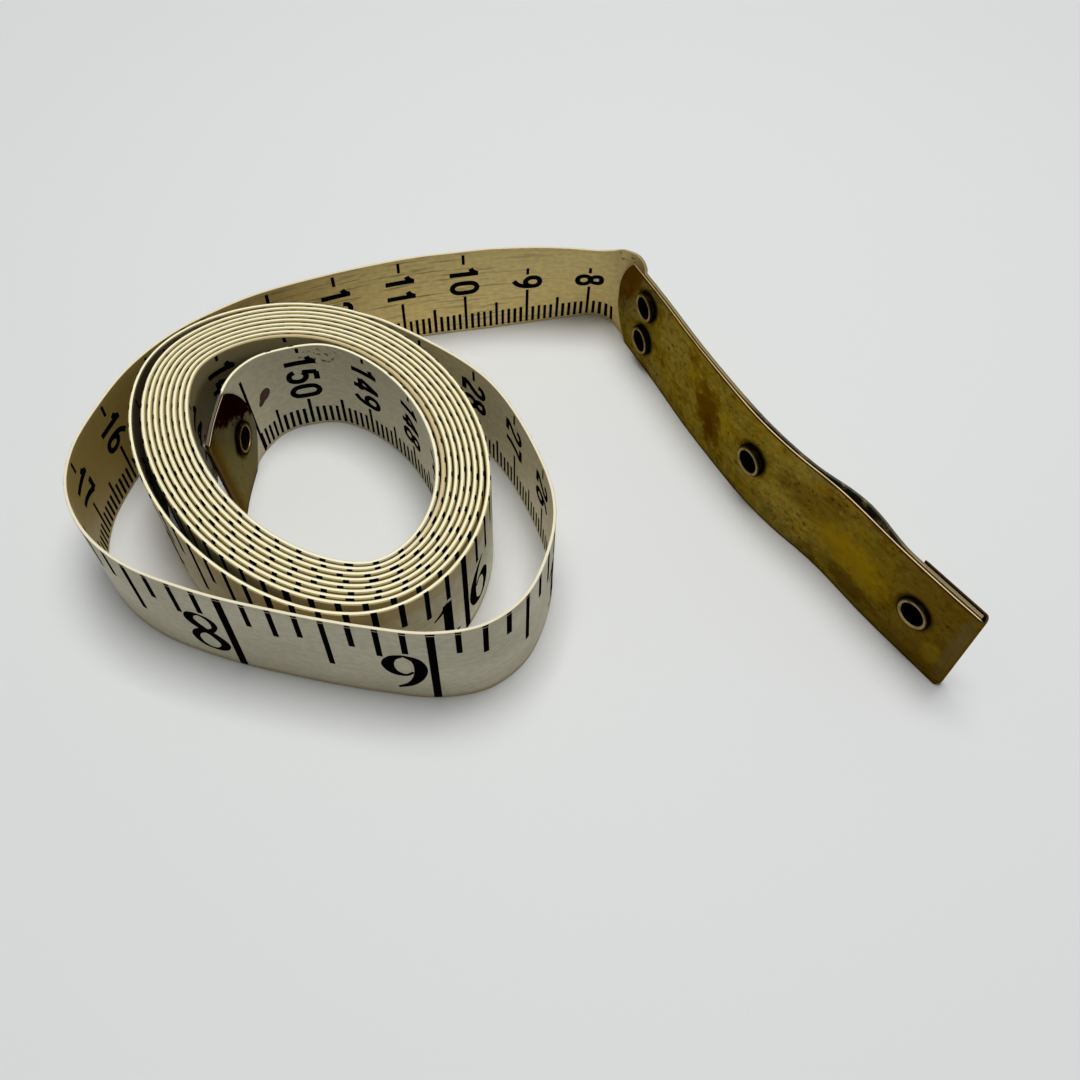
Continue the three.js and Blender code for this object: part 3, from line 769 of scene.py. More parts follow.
# Centimetre face
MARK_FOOT = 0.45 * MM
MARK_LENGTHS = {1: 3.2 * MM, 5: 4.8 * MM, 10: 6.8 * MM}
LONG_NUMBER_MARK = 5.1 * MM
MARK_WIDTH = 0.47 * MM
DIGIT_HEIGHT = 4.5 * MM
DIGIT_PITCH = 2.95 * MM
DIGIT_GAP = 0.45 * MM
DASH_LENGTHS = {1: 1.25 * MM, 2: 1.8 * MM, 3: 1.5 * MM}
DASH_GAP = 0.35 * MM
DASH_TOP = TAPE_WIDTH - 0.25 * MM
END_LINE_TO_TIP = 0.15 * MM
END_LINE_WIDTH = 0.5 * MM
END_LINE_FOOT = 0.2 * MM
END_LINE_TOP = TAPE_WIDTH - 2 * MM


def centimetre_print():
    ink = Ink(1)
    for millimetre in range(math.ceil(plate_end / MM), 10 * CENTIMETRES):
        s = printed(CENTIMETRE_START, millimetre * MM)
        number = str(millimetre // 10)
        if millimetre % 10 == 0:
            length = LONG_NUMBER_MARK if len(number) == 3 else MARK_LENGTHS[10]
        else:
            length = MARK_LENGTHS[5 if millimetre % 5 == 0 else 1]
        ink.bar(s, MARK_WIDTH, MARK_FOOT, MARK_FOOT + length * rng.uniform(0.98, 1.02))
        if millimetre % 10 == 0:
            centimetre_number(ink, s, number, MARK_FOOT + length + DIGIT_GAP)
    ink.bar(tip_start - END_LINE_TO_TIP, END_LINE_WIDTH, END_LINE_FOOT, END_LINE_TOP)
    return ink


def centimetre_number(ink, s, number, foot):
    """Number read downwards, its last digit on the mark, under a short dash."""
    top = foot + DIGIT_PITCH * (len(number) - 1) + PLAIN_WIDTH * DIGIT_HEIGHT
    for place, digit in enumerate(number):
        start = top - DIGIT_PITCH * place

        def put(edge, start=start):
            return np.array([s + DIGIT_HEIGHT / 2, start]) - DIGIT_HEIGHT * edge[:, ::-1]

        ink.numeral(PLAIN[digit], DIGIT_HEIGHT, put)
    low = top + DASH_GAP
    ink.bar(s, MARK_WIDTH, low, min(low + DASH_LENGTHS[len(number)], DASH_TOP))


# Inch face
INCH_MARKS = {1: 4.9 * MM, 2: 6.1 * MM, 4: 10 * MM}
INCH_MARK_WIDTH = 0.72 * MM
INCH_LINE_WIDTH = 1.05 * MM
INCH_BREAK = (0.42 * MM, 0.56 * MM)
INCH_DIGIT_HEIGHT = 8.5 * MM
INCH_DIGIT_FOOT = 2.1 * MM
INCH_DIGIT_GAP = 0.32 * MM
INCH_LINE_FOOT = 0.08 * MM
OVER_EDGE_SHARE = 0.3
SHORT_OF_EDGE = 0.01 * MM


def inch_print():
    ink = Ink(-1)
    for eighth in range(math.ceil(8 * plate_leaf / INCH), 8 * INCHES):
        s = printed(INCH_START, eighth * INCH / 8)
        if eighth % 8 == 0:
            inch_line(ink, s, str(eighth // 8))
            continue
        step = 4 if eighth % 4 == 0 else 2 if eighth % 2 == 0 else 1
        foot = TAPE_WIDTH - INCH_MARKS[step] * rng.uniform(0.97, 1.03)
        inch_mark(ink, s, INCH_MARK_WIDTH, foot)
    return ink


def inch_mark(ink, s, width, foot):
    """Mark that hangs from the top edge. On the outer loop ink on the edge leaves a pale break below
    it, and in the bundle some marks run over the edge."""
    if s < BUNDLE_START:
        spans = [(TAPE_WIDTH - INCH_BREAK[0], TAPE_WIDTH - TAPE_BEVEL), (foot, TAPE_WIDTH - INCH_BREAK[1])]
    else:
        over = INK_HEIGHT if rng.random() < OVER_EDGE_SHARE else -SHORT_OF_EDGE
        spans = [(foot, TAPE_WIDTH + over)]
    for low, high in spans:
        ink.bar(s, width, low, high, INCH_MARK_COLUMNS)


def inch_line(ink, s, number):
    """Line across the tape. A single digit stands before it, and two stand on its two sides."""
    inch_mark(ink, s, INCH_LINE_WIDTH, INCH_LINE_FOOT)
    wide = BOOK_WIDTH * INCH_DIGIT_HEIGHT
    clear = INCH_LINE_WIDTH / 2 + INCH_DIGIT_GAP
    starts = [s - clear - wide, s + clear]
    for start, digit in zip(starts, number):

        def put(edge, start=start):
            return np.array([start, INCH_DIGIT_FOOT]) + INCH_DIGIT_HEIGHT * edge

        ink.numeral(BOOK[digit], INCH_DIGIT_HEIGHT, put)


# Materials

def add_node(tree, kind, inputs, **settings):
    """Node whose inputs, by name or number, are set to values or linked to other nodes' outputs."""
    node = tree.nodes.new("ShaderNode" + kind)
    for name, value in settings.items():
        setattr(node, name, value)
    for key, value in inputs.items():
        join(tree, value, node.inputs[key])
    return node


def join(tree, value, socket):
    if isinstance(value, bpy.types.NodeSocket):
        tree.links.new(value, socket)
    else:
        socket.default_value = value


class Paint:
    """Node material that is put together one node at a time, and one layer of colour on another."""

    def __init__(self, name, settings):
        self.material = bpy.data.materials.new(name)
        self.material.use_nodes = True
        self.tree = self.material.node_tree
        self.inputs = self.tree.nodes["Principled BSDF"].inputs
        for key, value in settings.items():
            self.inputs[key].default_value = value
        self.flat = self.add("UVMap", {}, uv_map="flat").outputs["UV"]
        parts = self.add("SeparateXYZ", {0: self.flat})
        self.u = parts.outputs["X"]
        self.v = parts.outputs["Y"]
        self.colour = None

    def add(self, kind, inputs, **settings):
        return add_node(self.tree, kind, inputs, **settings)

    def math(self, operation, a, b):
        return self.add("Math", {0: a, 1: b}, operation=operation).outputs[0]

    def times(self, a, b):
        return self.math("MULTIPLY", a, b)

    def plus(self, a, b):
        return self.math("ADD", a, b)

    def minus(self, a, b):
        return self.math("SUBTRACT", a, b)

    def noise(self, x, y, detail=3.0, roughness=0.5):
        """Noise with x and y features to a metre along and across."""
        place = self.add("Mapping", {"Vector": self.flat, "Scale": (x, y, 1)}).outputs[0]
        inputs = {"Vector": place, "Scale": 1.0, "Detail": detail, "Roughness": roughness}
        return self.add("TexNoise", inputs).outputs["Fac"]

    def bands(self, spacing, direction):
        inputs = {"Vector": self.flat, "Scale": math.pi / (10 * spacing)}
        return self.add("TexWave", inputs, bands_direction=direction).outputs["Fac"]

    def ramp(self, value, low, high, start=0.0, end=1.0):
        """Number that goes smoothly from start to end as a value goes from low to high."""
        inputs = {"Value": value, "From Min": low, "From Max": high, "To Min": start, "To Max": end}
        return self.add("MapRange", inputs, interpolation_type="SMOOTHSTEP").outputs["Result"]

    def window(self, value, low, high, soft):
        """1 between low and high, and 0 outside them."""
        rises = self.ramp(value, low - soft, low + soft)
        return self.times(rises, self.ramp(value, high - soft, high + soft, 1, 0))

    def spot(self, u, v, wide, tall, inner, turn=0, ragged=0.0):
        """1 inside an oval spot that is turned by some degrees, and 0 outside it. A ragged spot
        has an uneven outline."""
        along = self.minus(self.u, u)
        above = self.minus(self.v, v)
        square = 0.0
        for degrees, size in ((turn, wide), (turn + 90, tall)):
            angle = math.radians(degrees)
            side = self.times(along, math.cos(angle) / size)
            side = self.plus(side, self.times(above, math.sin(angle) / size))
            square = self.plus(square, self.times(side, side))
        if ragged:
            uneven = self.minus(self.noise(650, 650, 5, 0.66), 0.5)
            square = self.plus(square, self.times(uneven, ragged))
        return self.ramp(square, inner, 1, 1, 0)

    def mix(self, share, *colours):
        """Colour between two, which are numbers or another node's."""
        a, b = (c if isinstance(c, bpy.types.NodeSocket) else (*c, 1) for c in colours)
        return self.add("Mix", {0: share, 6: a, 7: b}, data_type="RGBA").outputs[2]

    def lay(self, share, colour):
        """Lays a colour over the ones below it."""
        self.colour = self.mix(share, self.colour, colour)

    def bump(self, height, distance, strength=1.0):
        inputs = {"Height": height, "Distance": distance, "Strength": strength}
        below = self.inputs["Normal"]
        if below.is_linked:
            inputs["Normal"] = below.links[0].from_socket
        self.link("Normal", self.add("Bump", inputs).outputs["Normal"])

    def link(self, key, value):
        join(self.tree, value, self.inputs[key])

    def finish(self, roughness):
        self.link("Base Color", self.colour)
        self.link("Roughness", roughness)
        return self.material


IVORY = (0.74, 0.69, 0.50)
YELLOWED = (0.70, 0.52, 0.20)
GREYED = (0.50, 0.47, 0.345)
# Pale cream painted on as light over the inch face of the bundle's outer turns
PAINTED_LIGHT_CREAM = (0.88, 0.87, 0.74)
SCUFFED = (0.30, 0.21, 0.085)
STAINED_FOOT = (0.42, 0.30, 0.12)
WORN_TOP = (0.55, 0.43, 0.21)
# Pale tan painted on the top of the wound faces as light
PAINTED_LIGHT_WOUND_TOP = (0.66, 0.54, 0.27)
# Olive of the top of the wound faces and of their bevels
WOUND_TOP_OLIVE = (0.52, 0.42, 0.17)
GAP_SHADE = (0.030, 0.016, 0.006)
# Dark green-black: grime on the face under the plate, and painted shade on the top edge at the inner end
GRIME_AND_SHADE = (0.030, 0.032, 0.018)
CREASE_SPECK = (0.10, 0.09, 0.04)
TAIL_SPECK = (0.10, 0.065, 0.02)
RUST = (0.060, 0.006, 0.002)
# Patches of the centimetre face, yellowing and dirt in some and painted light and shade in others: where
# each starts and ends along the tape, softness, strength, colour
SCALE_TONES_AND_PAINTED_LIGHT = (
    # yellowed back of the loop, made paler still as painted light
    (0.076, 0.126, 0.006, 0.75, (0.95, 0.74, 0.28)),
    # yellowed inside of the loop's left side, darkened as painted shade where the bundle keeps the light
    # off
    (0.148, 0.185, 0.012, 0.85, (0.33, 0.235, 0.045)),
    # inside of the loop's right side, made paler as painted light
    (0.240, 0.295, 0.010, 0.75, (0.94, 0.84, 0.57)),
    # face behind the tip: dirt, and painted shade deep in the innermost turn
    (1.375, 1.425, 0.012, 0.90, (0.10, 0.082, 0.025)),
    (1.465, 1.540, 0.030, 0.60, (0.52, 0.49, 0.35)),
)
# Cut top edge: its colour under the plate, those that follow between two lengths, and near the tip
EDGE_UNDER_PLATE = (0.165, 0.140, 0.065)
EDGE_COLOURS = (
    (0.070, 0.082, (0.70, 0.63, 0.42)),
    (0.125, 0.150, (0.80, 0.74, 0.54)),
    (0.280, 0.310, (0.94, 0.89, 0.62)),
)
EDGE_BEHIND_TIP = (0.62, 0.50, 0.30)
# Rust spot: distance from the inner end, height and two half sizes of its parts, in mm
RUST_SPOTS = ((16.4, 9.1, 1.25, 0.85), (15.7, 8.3, 1.0, 0.5))


def cloth_material():
    """Coated cloth: yellowed where it was left open, with scuffs along it and grime at the plate, and
    painted light and shade on the loop, on the tops of the wound turns and at the inner end.
    """
    paint = Paint("coated_cloth", {"Specular IOR Level": 0.3})
    u, v, times, ramp, window = paint.u, paint.v, paint.times, paint.ramp, paint.window
    inch_face = paint.math("GREATER_THAN", v, TAPE_WIDTH + EDGE_ROOM / 2)
    scale_face = paint.minus(1.0, inch_face)
    height = paint.math("MINIMUM", v, paint.minus(RIGHT_FOOT, v))
    wound = window(u, BUNDLE_START, 1.41, 0.02)
    cloudy = paint.noise(75, 140, 4)

    yellow = paint.minus(ramp(u, 0.17, 0.27, 1.0, 0.30), ramp(u, 1.38, 1.47, 0.0, 0.20))
    age = times(yellow, ramp(inch_face, 0, 1, 1.0, 0.10))
    age = paint.plus(age, times(paint.minus(cloudy, 0.5), 0.35))
    paint.colour = paint.mix(age, IVORY, YELLOWED)
    for first, last, soft, share, colour in SCALE_TONES_AND_PAINTED_LIGHT:
        paint.lay(times(times(window(u, first, last, soft), scale_face), share), colour)
    paint.lay(times(inch_face, ramp(cloudy, 0.3, 0.7, 0.55, 0.9)), GREYED)
    # painted light: the inch face of the bundle's outer turns is made paler where the outer loop shades it
    paint.lay(times(times(window(u, 0.30, 0.45, 0.01), inch_face), 0.8), PAINTED_LIGHT_CREAM)

    paint.lay(ramp(paint.noise(900, 1500, 3), 0.35, 0.65, 0.20, 0.0), SCUFFED)
    streaks = ramp(paint.noise(95, 2300, 5, 0.66), 0.53, 0.66)
    worn = times(window(u, 0.09, 0.135, 0.012), scale_face)
    paint.lay(times(streaks, paint.plus(times(worn, 0.85), 0.12)), SCUFFED)
    foot = paint.plus(0.30, times(inch_face, 0.45))
    paint.lay(times(foot, ramp(height, 0.2 * MM, 1.1 * MM, 1, 0)), STAINED_FOOT)
    paint.lay(ramp(height, 14.8 * MM, 15.8 * MM, 0.0, 0.22), WORN_TOP)
    # painted light: the top of each wound face is paler, so the faces seen between the turns look lit
    paint.lay(times(wound, ramp(height, 12.4 * MM, 14.2 * MM, 0.0, 0.75)), PAINTED_LIGHT_WOUND_TOP)
    # olive band at the top of the wound faces and on their bevels
    paint.lay(times(wound, ramp(height, 15.4 * MM, 15.7 * MM, 0.0, 0.9)), WOUND_TOP_OLIVE)
    paint.lay(times(times(window(u, 0.325, 0.380, 0.012), scale_face), 0.92), GAP_SHADE)

    edge = EDGE_UNDER_PLATE
    for first, last, colour in EDGE_COLOURS:
        edge = paint.mix(ramp(u, first, last), edge, colour)
    edge = paint.mix(window(u, 1.345, 1.40, 0.008), edge, EDGE_BEHIND_TIP)
    overlap = 0.006 * MM
    paint.lay(window(v, TAPE_WIDTH - overlap, TAPE_WIDTH + EDGE_ROOM + overlap, 0.004 * MM), edge)

    patches = ramp(paint.noise(420, 380, 4, 0.6), 0.36, 0.48, 0.25, 1.0)
    under_plate = times(window(u, 0.012, 0.040, 0.003), patches)
    paint.lay(times(under_plate, window(v, 9 * MM, 16.2 * MM, 0.05 * MM)), GRIME_AND_SHADE)
    specks = ramp(paint.noise(1500, 1500, 2), 0.56, 0.64)
    creased = paint.spot(plate_end - 0.4 * MM, 14.8 * MM, 1.6 * MM, 1.4 * MM, 0.2)
    paint.lay(times(specks, creased), CREASE_SPECK)
    speckled = paint.spot(tape.length - 25.2 * MM, 13.9 * MM, 4.4 * MM, 2.0 * MM, 0.2)
    paint.lay(times(specks, speckled), TAIL_SPECK)
    for away, up, wide, tall in RUST_SPOTS:
        place = (tape.length - away * MM, up * MM)
        paint.lay(paint.spot(*place, wide * MM, tall * MM, 0.85, -45, 0.6), RUST)
    # painted shade: the tape's top edge inside the tip is darkened, so only the brass edge shows bright
    tip_edge_shade = ramp(u, tip_start + 3.4 * MM, tip_start + 4.4 * MM, 0.0, 0.95)
    paint.lay(times(tip_edge_shade, ramp(height, 15.2 * MM, 15.6 * MM)), GRIME_AND_SHADE)

    weave = paint.math("MAXIMUM", paint.bands(0.46 * MM, "X"), paint.bands(0.40 * MM, "Y"))
    paint.bump(weave, 0.010 * MM)
    paint.bump(paint.noise(120, 1900, 3), 0.02 * MM, 0.6)
    return paint.finish(ramp(cloudy, 0.3, 0.7, 0.42, 0.60))


INK_BLACK = (0.002, 0.002, 0.002)
INK_WORN = (0.025, 0.021, 0.016)


def ink_material():
    """Black printing, thin and greyed where it is worn."""
    paint = Paint("printing_ink", {"Specular IOR Level": 0.0})
    worn = paint.ramp(paint.noise(900, 700, 4, 0.6), 0.58, 0.76, 0.0, 0.4)
    paint.colour = paint.mix(worn, INK_BLACK, INK_WORN)
    paint.bump(paint.noise(2500, 2500, 2), 0.008 * MM)
    return paint.finish(paint.ramp(worn, 0, 1, 0.65, 0.8))


BRASS_OLIVE = (0.172, 0.126, 0.020)
BRASS_GOLD = (0.265, 0.182, 0.016)
BRASS_PALE = (0.270, 0.220, 0.085)
BRASS_LIGHT = (0.370, 0.285, 0.095)
BRASS_BROWN = (0.085, 0.044, 0.006)
BRASS_GREY = (0.155, 0.150, 0.110)
BRASS_DARK = (0.072, 0.034, 0.002)
BRASS_PIT = (0.040, 0.018, 0.004)
# Dark brown of the line at the foot and of the painted shadow line under the top edge
BRASS_LINE = (0.030, 0.016, 0.005)
# Rubbed top edge, brightened further as a painted highlight
BRASS_EDGE = (0.54, 0.39, 0.26)
BRASS_BLACK = (0.014, 0.008, 0.003)
# Dark brown laid as painted shade on the short leaf
BRASS_LEAF_SHADE = (0.034, 0.012, 0.006)
BRASS_GLANCE = (0.52, 0.40, 0.15, 1)
EYELET_RING = 3.3 * MM
PLATE_GREYED = 0.0
PLATE_DARK_FROM = 44 * MM
TIP_GREYED = 0.85
TIP_DARK_FROM = 10 * MM
# Stains: distance from the rounded end and height in mm, two half sizes in mm, turn in degrees,
# how much of it is solid, strength and colour
PLATE_STAINS = (
    (0.8, 12.4, 7.4, 4.1, 48, 0.80, 0.85, (0.145, 0.070, 0.006)),
    (27.9, 7.3, 3.6, 6.4, 29, 0.25, 1.00, (0.100, 0.054, 0.004)),
    (28.6, 5.8, 1.4, 2.4, 20, 0.10, 0.75, (0.065, 0.032, 0.005)),
    (31.4, 9.4, 1.1, 4.2, 15, 0.00, 0.50, (0.270, 0.195, 0.022)),
    (49.5, 10.4, 6.5, 4.0, 0, 0.00, 0.55, (0.085, 0.040, 0.005)),
    (50.2, 13.9, 1.6, 1.1, 0, 0.10, 0.60, (0.210, 0.110, 0.008)),
    (55.1, 9.4, 1.5, 1.1, 0, 0.10, 0.60, (0.190, 0.095, 0.008)),
    (57.5, 7.2, 9.0, 4.6, -4, 0.00, 0.70, (0.250, 0.158, 0.006)),
    (58.7, 2.6, 5.5, 2.2, 0, 0.10, 0.70, (0.060, 0.030, 0.004)),
    (73.0, 4.5, 2.0, 2.4, 0, 0.00, 0.60, (0.200, 0.132, 0.012)),
    (75.0, 9.0, 1.3, 9.0, 0, 0.30, 0.60, (0.105, 0.082, 0.034)),
)
TIP_STAINS = (
    (1.7, 15.9, 14.0, 6.0, 33, 0.80, 1.0, (0.014, 0.002, 0.001)),
    (4.4, 7.6, 3.2, 2.6, 0, 0.20, 0.8, (0.016, 0.010, 0.004)),
)


def brass_material(name, reach, eyelets, greyed, stains, dark_from):
    """Tarnished sheet: gold and olive clouds, stains, dark rings round the eyelets, a rubbed top edge with
    a painted highlight, a painted shadow line under it and a dark foot line. The sheet darkens from a
    length on, and painted shade darkens its short leaf."""
    paint = Paint(name, {"Metallic": 1.0, "Specular Tint": BRASS_GLANCE})
    u, v, times, ramp = paint.u, paint.v, paint.times, paint.ramp
    cloud = paint.noise(210, 260, 6, 0.62)
    paint.colour = paint.mix(ramp(cloud, 0.38, 0.62), BRASS_OLIVE, BRASS_GOLD)
    dull = ramp(paint.noise(120, 140, 5, 0.6), 0.40, 0.60, 0.1, 1.0)
    paint.lay(times(dull, ramp(u, 8 * MM, 34 * MM, 0.75, 0.25)), BRASS_PALE)
    paint.lay(ramp(paint.noise(160, 240, 6, 0.70), 0.50, 0.68, 0.0, 0.75), BRASS_BROWN)
    grain = paint.noise(420, 2600, 3)
    paint.lay(ramp(grain, 0.38, 0.60, 0.14, 0.0), BRASS_BROWN)
    mottle = paint.noise(850, 1050, 5, 0.70)
    paint.lay(ramp(mottle, 0.34, 0.50, 0.60, 0.0), BRASS_BROWN)
    paint.lay(ramp(mottle, 0.54, 0.70, 0.0, 0.60), BRASS_LIGHT)
    paint.lay(greyed, BRASS_GREY)
    paint.lay(ramp(u, dark_from, reach, 0.0, 0.72), BRASS_DARK)
    specks = ramp(paint.noise(1300, 1500, 2), 0.58, 0.66)
    paint.lay(times(specks, ramp(paint.noise(110, 150, 2), 0.46, 0.60, 0.05, 0.8)), BRASS_PIT)
    for away, up, wide, tall, turn, inner, share, colour in stains:
        stain = paint.spot(away * MM, up * MM, wide * MM, tall * MM, inner, turn, 2.4)
        paint.lay(times(stain, share), colour)
    for away, up in eyelets:
        ring = paint.spot(away, up, EYELET_RING, EYELET_RING, 0.45, 0, 0.3)
        paint.lay(times(ring, 0.85), BRASS_BLACK)

    # a dark line along the foot, and a painted shadow line just below the top edge
    foot_line = ramp(v, 0.25 * MM, 0.50 * MM, 0.85, 0.0)
    top_shadow_line = paint.window(v, 15.60 * MM, 15.92 * MM, 0.04 * MM)
    paint.lay(times(paint.plus(foot_line, top_shadow_line), 0.8), BRASS_LINE)
    # bright top edge of the long leaf: rubbed bare brass with a painted highlight
    edge = paint.window(v, 15.95 * MM, 16.25 * MM, 0.03 * MM)
    edge = times(edge, ramp(u, reach + 0.5 * MM, reach + 1.5 * MM, 0.9, 0.0))
    edge = times(edge, ramp(u, reach - 56 * MM, reach - 38 * MM, 0.45, 1.0))
    paint.lay(edge, BRASS_EDGE)
    # painted shade: the short leaf behind the tape is darkened
    paint.lay(ramp(u, reach + 0.9 * MM, reach + 1.9 * MM, 0.0, 0.85), BRASS_LEAF_SHADE)
    paint.bump(grain, 0.008 * MM, 0.5)
    paint.bump(paint.noise(500, 500, 3), 0.03 * MM, 0.5)
    return paint.finish(ramp(cloud, 0.3, 0.7, 0.36, 0.55))


# Black of painted shade in the bore, on its floor and on the rim's outer wall
EYELET_SHADE_BLACK = (0.003, 0.002, 0.002)
EYELET_BARE = (0.050, 0.034, 0.012)
# Crest rubbed bare and lightened further as a painted highlight
EYELET_CREST = (0.285, 0.220, 0.100)
EYELET_BEHIND = (0.20, 0.145, 0.050)
EYELET_PATINA = (0.045, 0.026, 0.006)
EYELET_GLANCE = (0.52, 0.40, 0.18, 1)


def eyelet_material():
    """Pressed brass: rubbed on the rim's crest, which a painted highlight lightens too; painted shade
    makes the bore, its floor and the rim's outer wall black and without shine, over some patina; brown on
    the rim behind."""
    paint = Paint("eyelet_brass", {"Specular Tint": EYELET_GLANCE, "Specular IOR Level": 0.0})
    bare = paint.window(paint.v, -0.36 * MM, 0.36 * MM, 0.08 * MM)
    behind = paint.ramp(paint.v, EYELET_BACK - 0.05 * MM, EYELET_BACK + 0.05 * MM)
    patina = paint.noise(9, 2200, 4)
    # painted shade: black with no shine in the bore, on its floor and on the rim's outer wall
    paint.colour = paint.mix(bare, EYELET_SHADE_BLACK, EYELET_BARE)
    # light crest: rubbed bare brass with a painted highlight
    paint.lay(paint.window(paint.v, -0.20 * MM, 0.26 * MM, 0.07 * MM), EYELET_CREST)
    paint.lay(behind, EYELET_BEHIND)
    paint.lay(paint.ramp(patina, 0.48, 0.70, 0.0, 0.6), EYELET_PATINA)
    paint.link("Metallic", paint.math("MAXIMUM", bare, behind))
    paint.bump(patina, 0.02 * MM, 0.5)
    return paint.finish(paint.ramp(patina, 0.3, 0.7, 0.36, 0.55))


def dress(made, material):
    made.data.materials.clear()
    made.data.materials.append(material)


# Build

# Length along the tape, height, leaves of brass that each eyelet goes through, and how far it stands up
plate_eyelets = {
    "eyelet_far": (far_s, eyelet_z, 2, 0.55),
    "eyelet_middle": (middle_s, eyelet_z, 1, 1.0),
    "eyelet_near_upper": (pair_s, eyelet_z + EYELET_PAIR_SPACING / 2, 1, 0.9),
    "eyelet_near_lower": (pair_s, eyelet_z - EYELET_PAIR_SPACING / 2, 1, 0.9),
}
tip_eyelets = {"eyelet_tip": (tip_eyelet_s, tip_eyelet_z, 1, 0.25)}


def holes_for(eyelets):
    holes = []
    for s, height, leaves, share in eyelets.values():
        place, left = tape.at(s)
        holes.append(((*place, height), (*left, 0), barrel + EYELET_CLEARANCE, EYELET_HOLE_DEPTH))
    return holes


cloth = cloth_material()
ink_black = ink_material()

tape_main = tape_piece("cloth_tape", 0.0, tail_start)
cut_holes(tape_main, holes_for(plate_eyelets))
tape_tail = tape_piece("cloth_tape_inner_end", tail_start, tape.length)
cut_holes(tape_tail, holes_for(tip_eyelets))

centimetres = centimetre_print()
inches = inch_print()
main_print = [
    centimetres.finish("centimetre_print", 0.0, tail_start),
    inches.finish("inch_print", 0.0, tail_start),
]
tail_print = [
    centimetres.finish("centimetre_print_inner_end", tail_start, tape.length),
    inches.finish("inch_print_inner_end", tail_start, tape.length),
]

plate_spots = [(plate_end - s, height) for s, height, leaves, share in plate_eyelets.values()]
tip_spots = [(s - tip_start, height) for s, height, leaves, share in tip_eyelets.values()]
plate = folded_sheet("brass_plate_sheet", PLATE, lambda d: d, 1, plate_leaf, plate_spots)
cut_holes(plate, holes_for(plate_eyelets))
tip = folded_sheet("brass_tip_sheet", TIP, lambda d: tape.length - d, -1, tip_leaf, tip_spots)
cut_holes(tip, holes_for(tip_eyelets))

for made in (tape_main, tape_tail):
    dress(made, cloth)
for made in main_print + tail_print:
    dress(made, ink_black)
tip_reach = TIP.length - FOLD_DEPTH
plate_brass = brass_material(
    "plate_brass", plate_end, plate_spots, PLATE_GREYED, PLATE_STAINS, PLATE_DARK_FROM)
dress(plate, plate_brass)
tip_brass = brass_material("tip_brass", tip_reach, tip_spots, TIP_GREYED, TIP_STAINS, TIP_DARK_FROM)
dress(tip, tip_brass)

eyelet_finish = eyelet_material()
for eyelets, sheet, body in ((plate_eyelets, PLATE, "end_plate"), (tip_eyelets, TIP, "tip")):
    for node, (s, height, leaves, share) in eyelets.items():
        made = eyelet(node + "_turned", sheet, s, height, leaves, share)
        dress(made, eyelet_finish)
        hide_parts(node)
        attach(made, body)

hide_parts("brass_end_plate")
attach(plate, "end_plate")
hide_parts("brass_tip")
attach(tip, "tip")

# Ends of the inner bend at the tape's mid-height; nothing below uses them
tip_bend = [(*tape.at(s)[0], half_width) for s in (bend_start, tip_start)]
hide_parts("tape_plate_length", "tape_crease", "tape_outer_loop", "tape_coil")
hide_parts("tape_inner_bend", "tape_tip_length")
for made in [tape_main] + main_print:
    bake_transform(made)
for made in [tape_tail] + tail_print:
    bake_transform(made)

# Floor, light and camera

FLOOR_COLOUR = (0.74, 0.75, 0.74, 1)
FLOOR_ROUGHNESS = 0.6
FLOOR_SHINE = 0.2
FLOOR_REACH = 3.0
FLOOR_DROP = 0.05 * MM
FLOOR_FADE = (0.14, 0.45)
BACKDROP_COLOUR = (0.78, 0.79, 0.78, 1)
SKY_COLOUR = (0.93, 0.96, 1.0, 1)
SKY_STRENGTH = 0.18
LAMP_PLACE = (0.03, 0.08, 0.60)
LAMP_SIZE = 0.32
LAMP_POWER = 3.15


def seen_directly(tree):
    """1 for rays from the camera and for those that metal or glass sends on, and 0 for others."""
    rays = add_node(tree, "LightPath", {}).outputs
    seen = rays["Is Camera Ray"]
    for name in ("Is Glossy Ray", "Is Transmission Ray"):
        seen = add_node(tree, "Math", {0: seen, 1: rays[name]}, operation="MAXIMUM").outputs[0]
    return seen


def show(tree, share, surface, shown, output):
    """Sends a mix of two shaders to the output."""
    inputs = {0: share, 1: surface.outputs[0], 2: shown.outputs[0]}
    tree.links.new(add_node(tree, "MixShader", inputs).outputs[0], tree.nodes[output].inputs["Surface"])


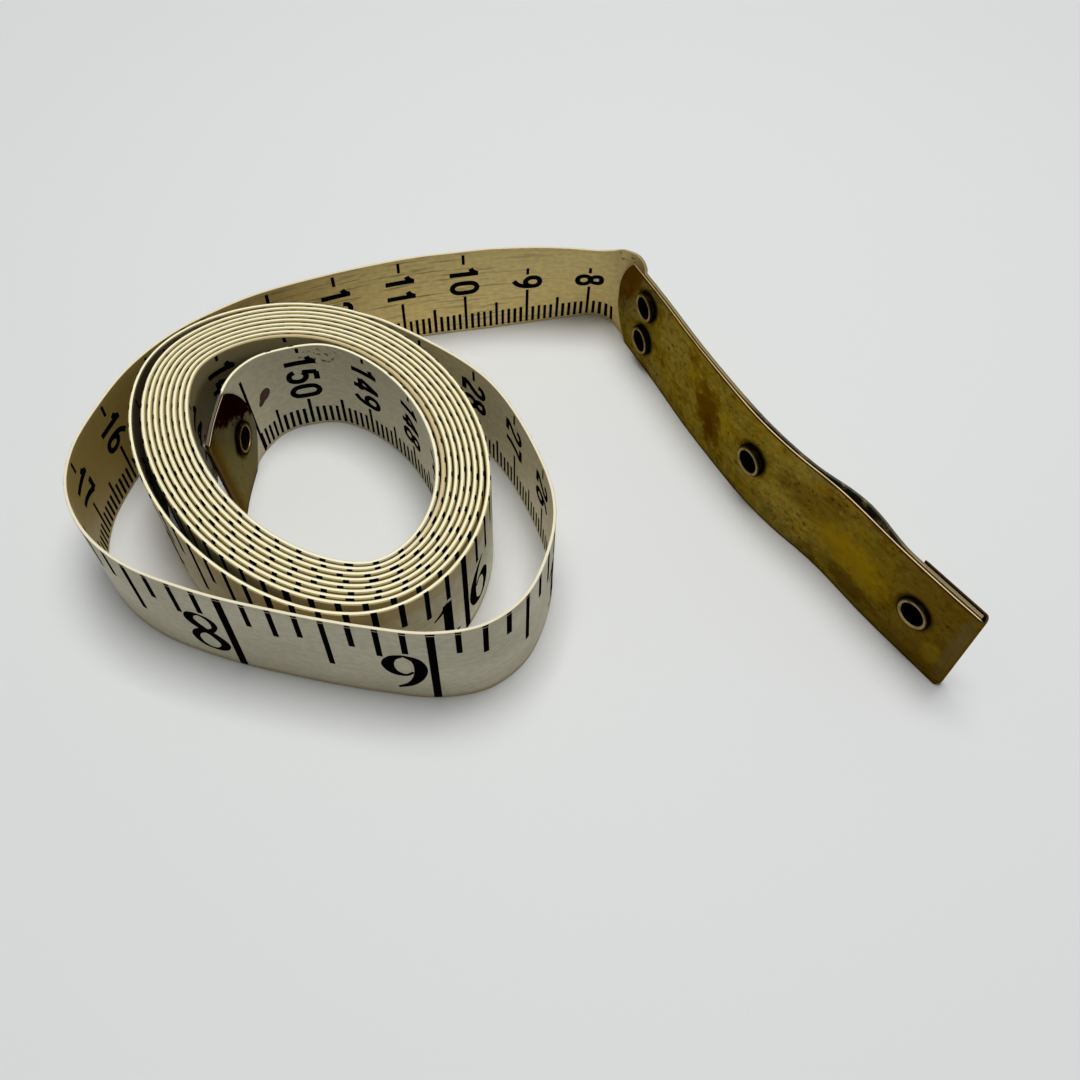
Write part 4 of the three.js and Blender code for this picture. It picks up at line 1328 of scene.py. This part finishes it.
def floor_material():
    """Pale table top that runs into the backdrop's colour away from the object."""
    material = bpy.data.materials.new("table_top")
    material.use_nodes = True
    tree = material.node_tree
    surface = tree.nodes["Principled BSDF"]
    surface.inputs["Base Color"].default_value = FLOOR_COLOUR
    surface.inputs["Roughness"].default_value = FLOOR_ROUGHNESS
    surface.inputs["Specular IOR Level"].default_value = FLOOR_SHINE
    place = add_node(tree, "NewGeometry", {}).outputs["Position"]
    away = add_node(tree, "VectorMath", {0: place}, operation="LENGTH").outputs["Value"]
    inputs = {"Value": away, "From Min": FLOOR_FADE[0], "From Max": FLOOR_FADE[1]}
    far = add_node(tree, "MapRange", inputs, interpolation_type="SMOOTHSTEP").outputs["Result"]
    share = add_node(tree, "Math", {0: far, 1: seen_directly(tree)}, operation="MULTIPLY").outputs[0]
    shown = add_node(tree, "Emission", {"Color": BACKDROP_COLOUR})
    show(tree, share, surface, shown, "Material Output")
    return material


floor_corners = [(-1, -1), (1, -1), (1, 1), (-1, 1)]
floor_points = [(FLOOR_REACH * x, FLOOR_REACH * y, -FLOOR_DROP) for x, y in floor_corners]
floor = add_object("floor", floor_points, [(0, 1, 2, 3)])
floor.data.materials.append(floor_material())

lamp_data = bpy.data.lights.new("sky_panel", "AREA")
lamp_data.size = LAMP_SIZE
lamp_data.energy = LAMP_POWER
lamp = bpy.data.objects.new("sky_panel", lamp_data)
lamp.location = LAMP_PLACE
lamp.rotation_euler = (-Vector(LAMP_PLACE)).to_track_quat("-Z", "Y").to_euler()
bpy.context.scene.collection.objects.link(lamp)

world = bpy.data.worlds.new("studio")
bpy.context.scene.world = world
world.use_nodes = True
sky_tree = world.node_tree
sky = sky_tree.nodes["Background"]
sky.inputs["Color"].default_value = SKY_COLOUR
sky.inputs["Strength"].default_value = SKY_STRENGTH
backdrop = add_node(sky_tree, "Background", {"Color": BACKDROP_COLOUR})
show(sky_tree, seen_directly(sky_tree), sky, backdrop, "World Output")

camera_data = bpy.data.cameras.new("camera")
camera_data.sensor_fit = "HORIZONTAL"
camera_data.angle = math.radians(CAMERA_ANGLE)
camera_data.clip_start = CAMERA_CLIP
camera = bpy.data.objects.new("camera", camera_data)
tilt = Euler((math.radians(90 - CAMERA_DOWN), 0, 0)).to_matrix()
roll = Matrix.Rotation(math.radians(CAMERA_ROLL), 3, "Z")
camera.matrix_world = Matrix.Translation(CAMERA_PLACE) @ (tilt @ roll).to_4x4()
bpy.context.scene.collection.objects.link(camera)
bpy.context.scene.camera = camera
bpy.context.scene.view_settings.view_transform = "Standard"
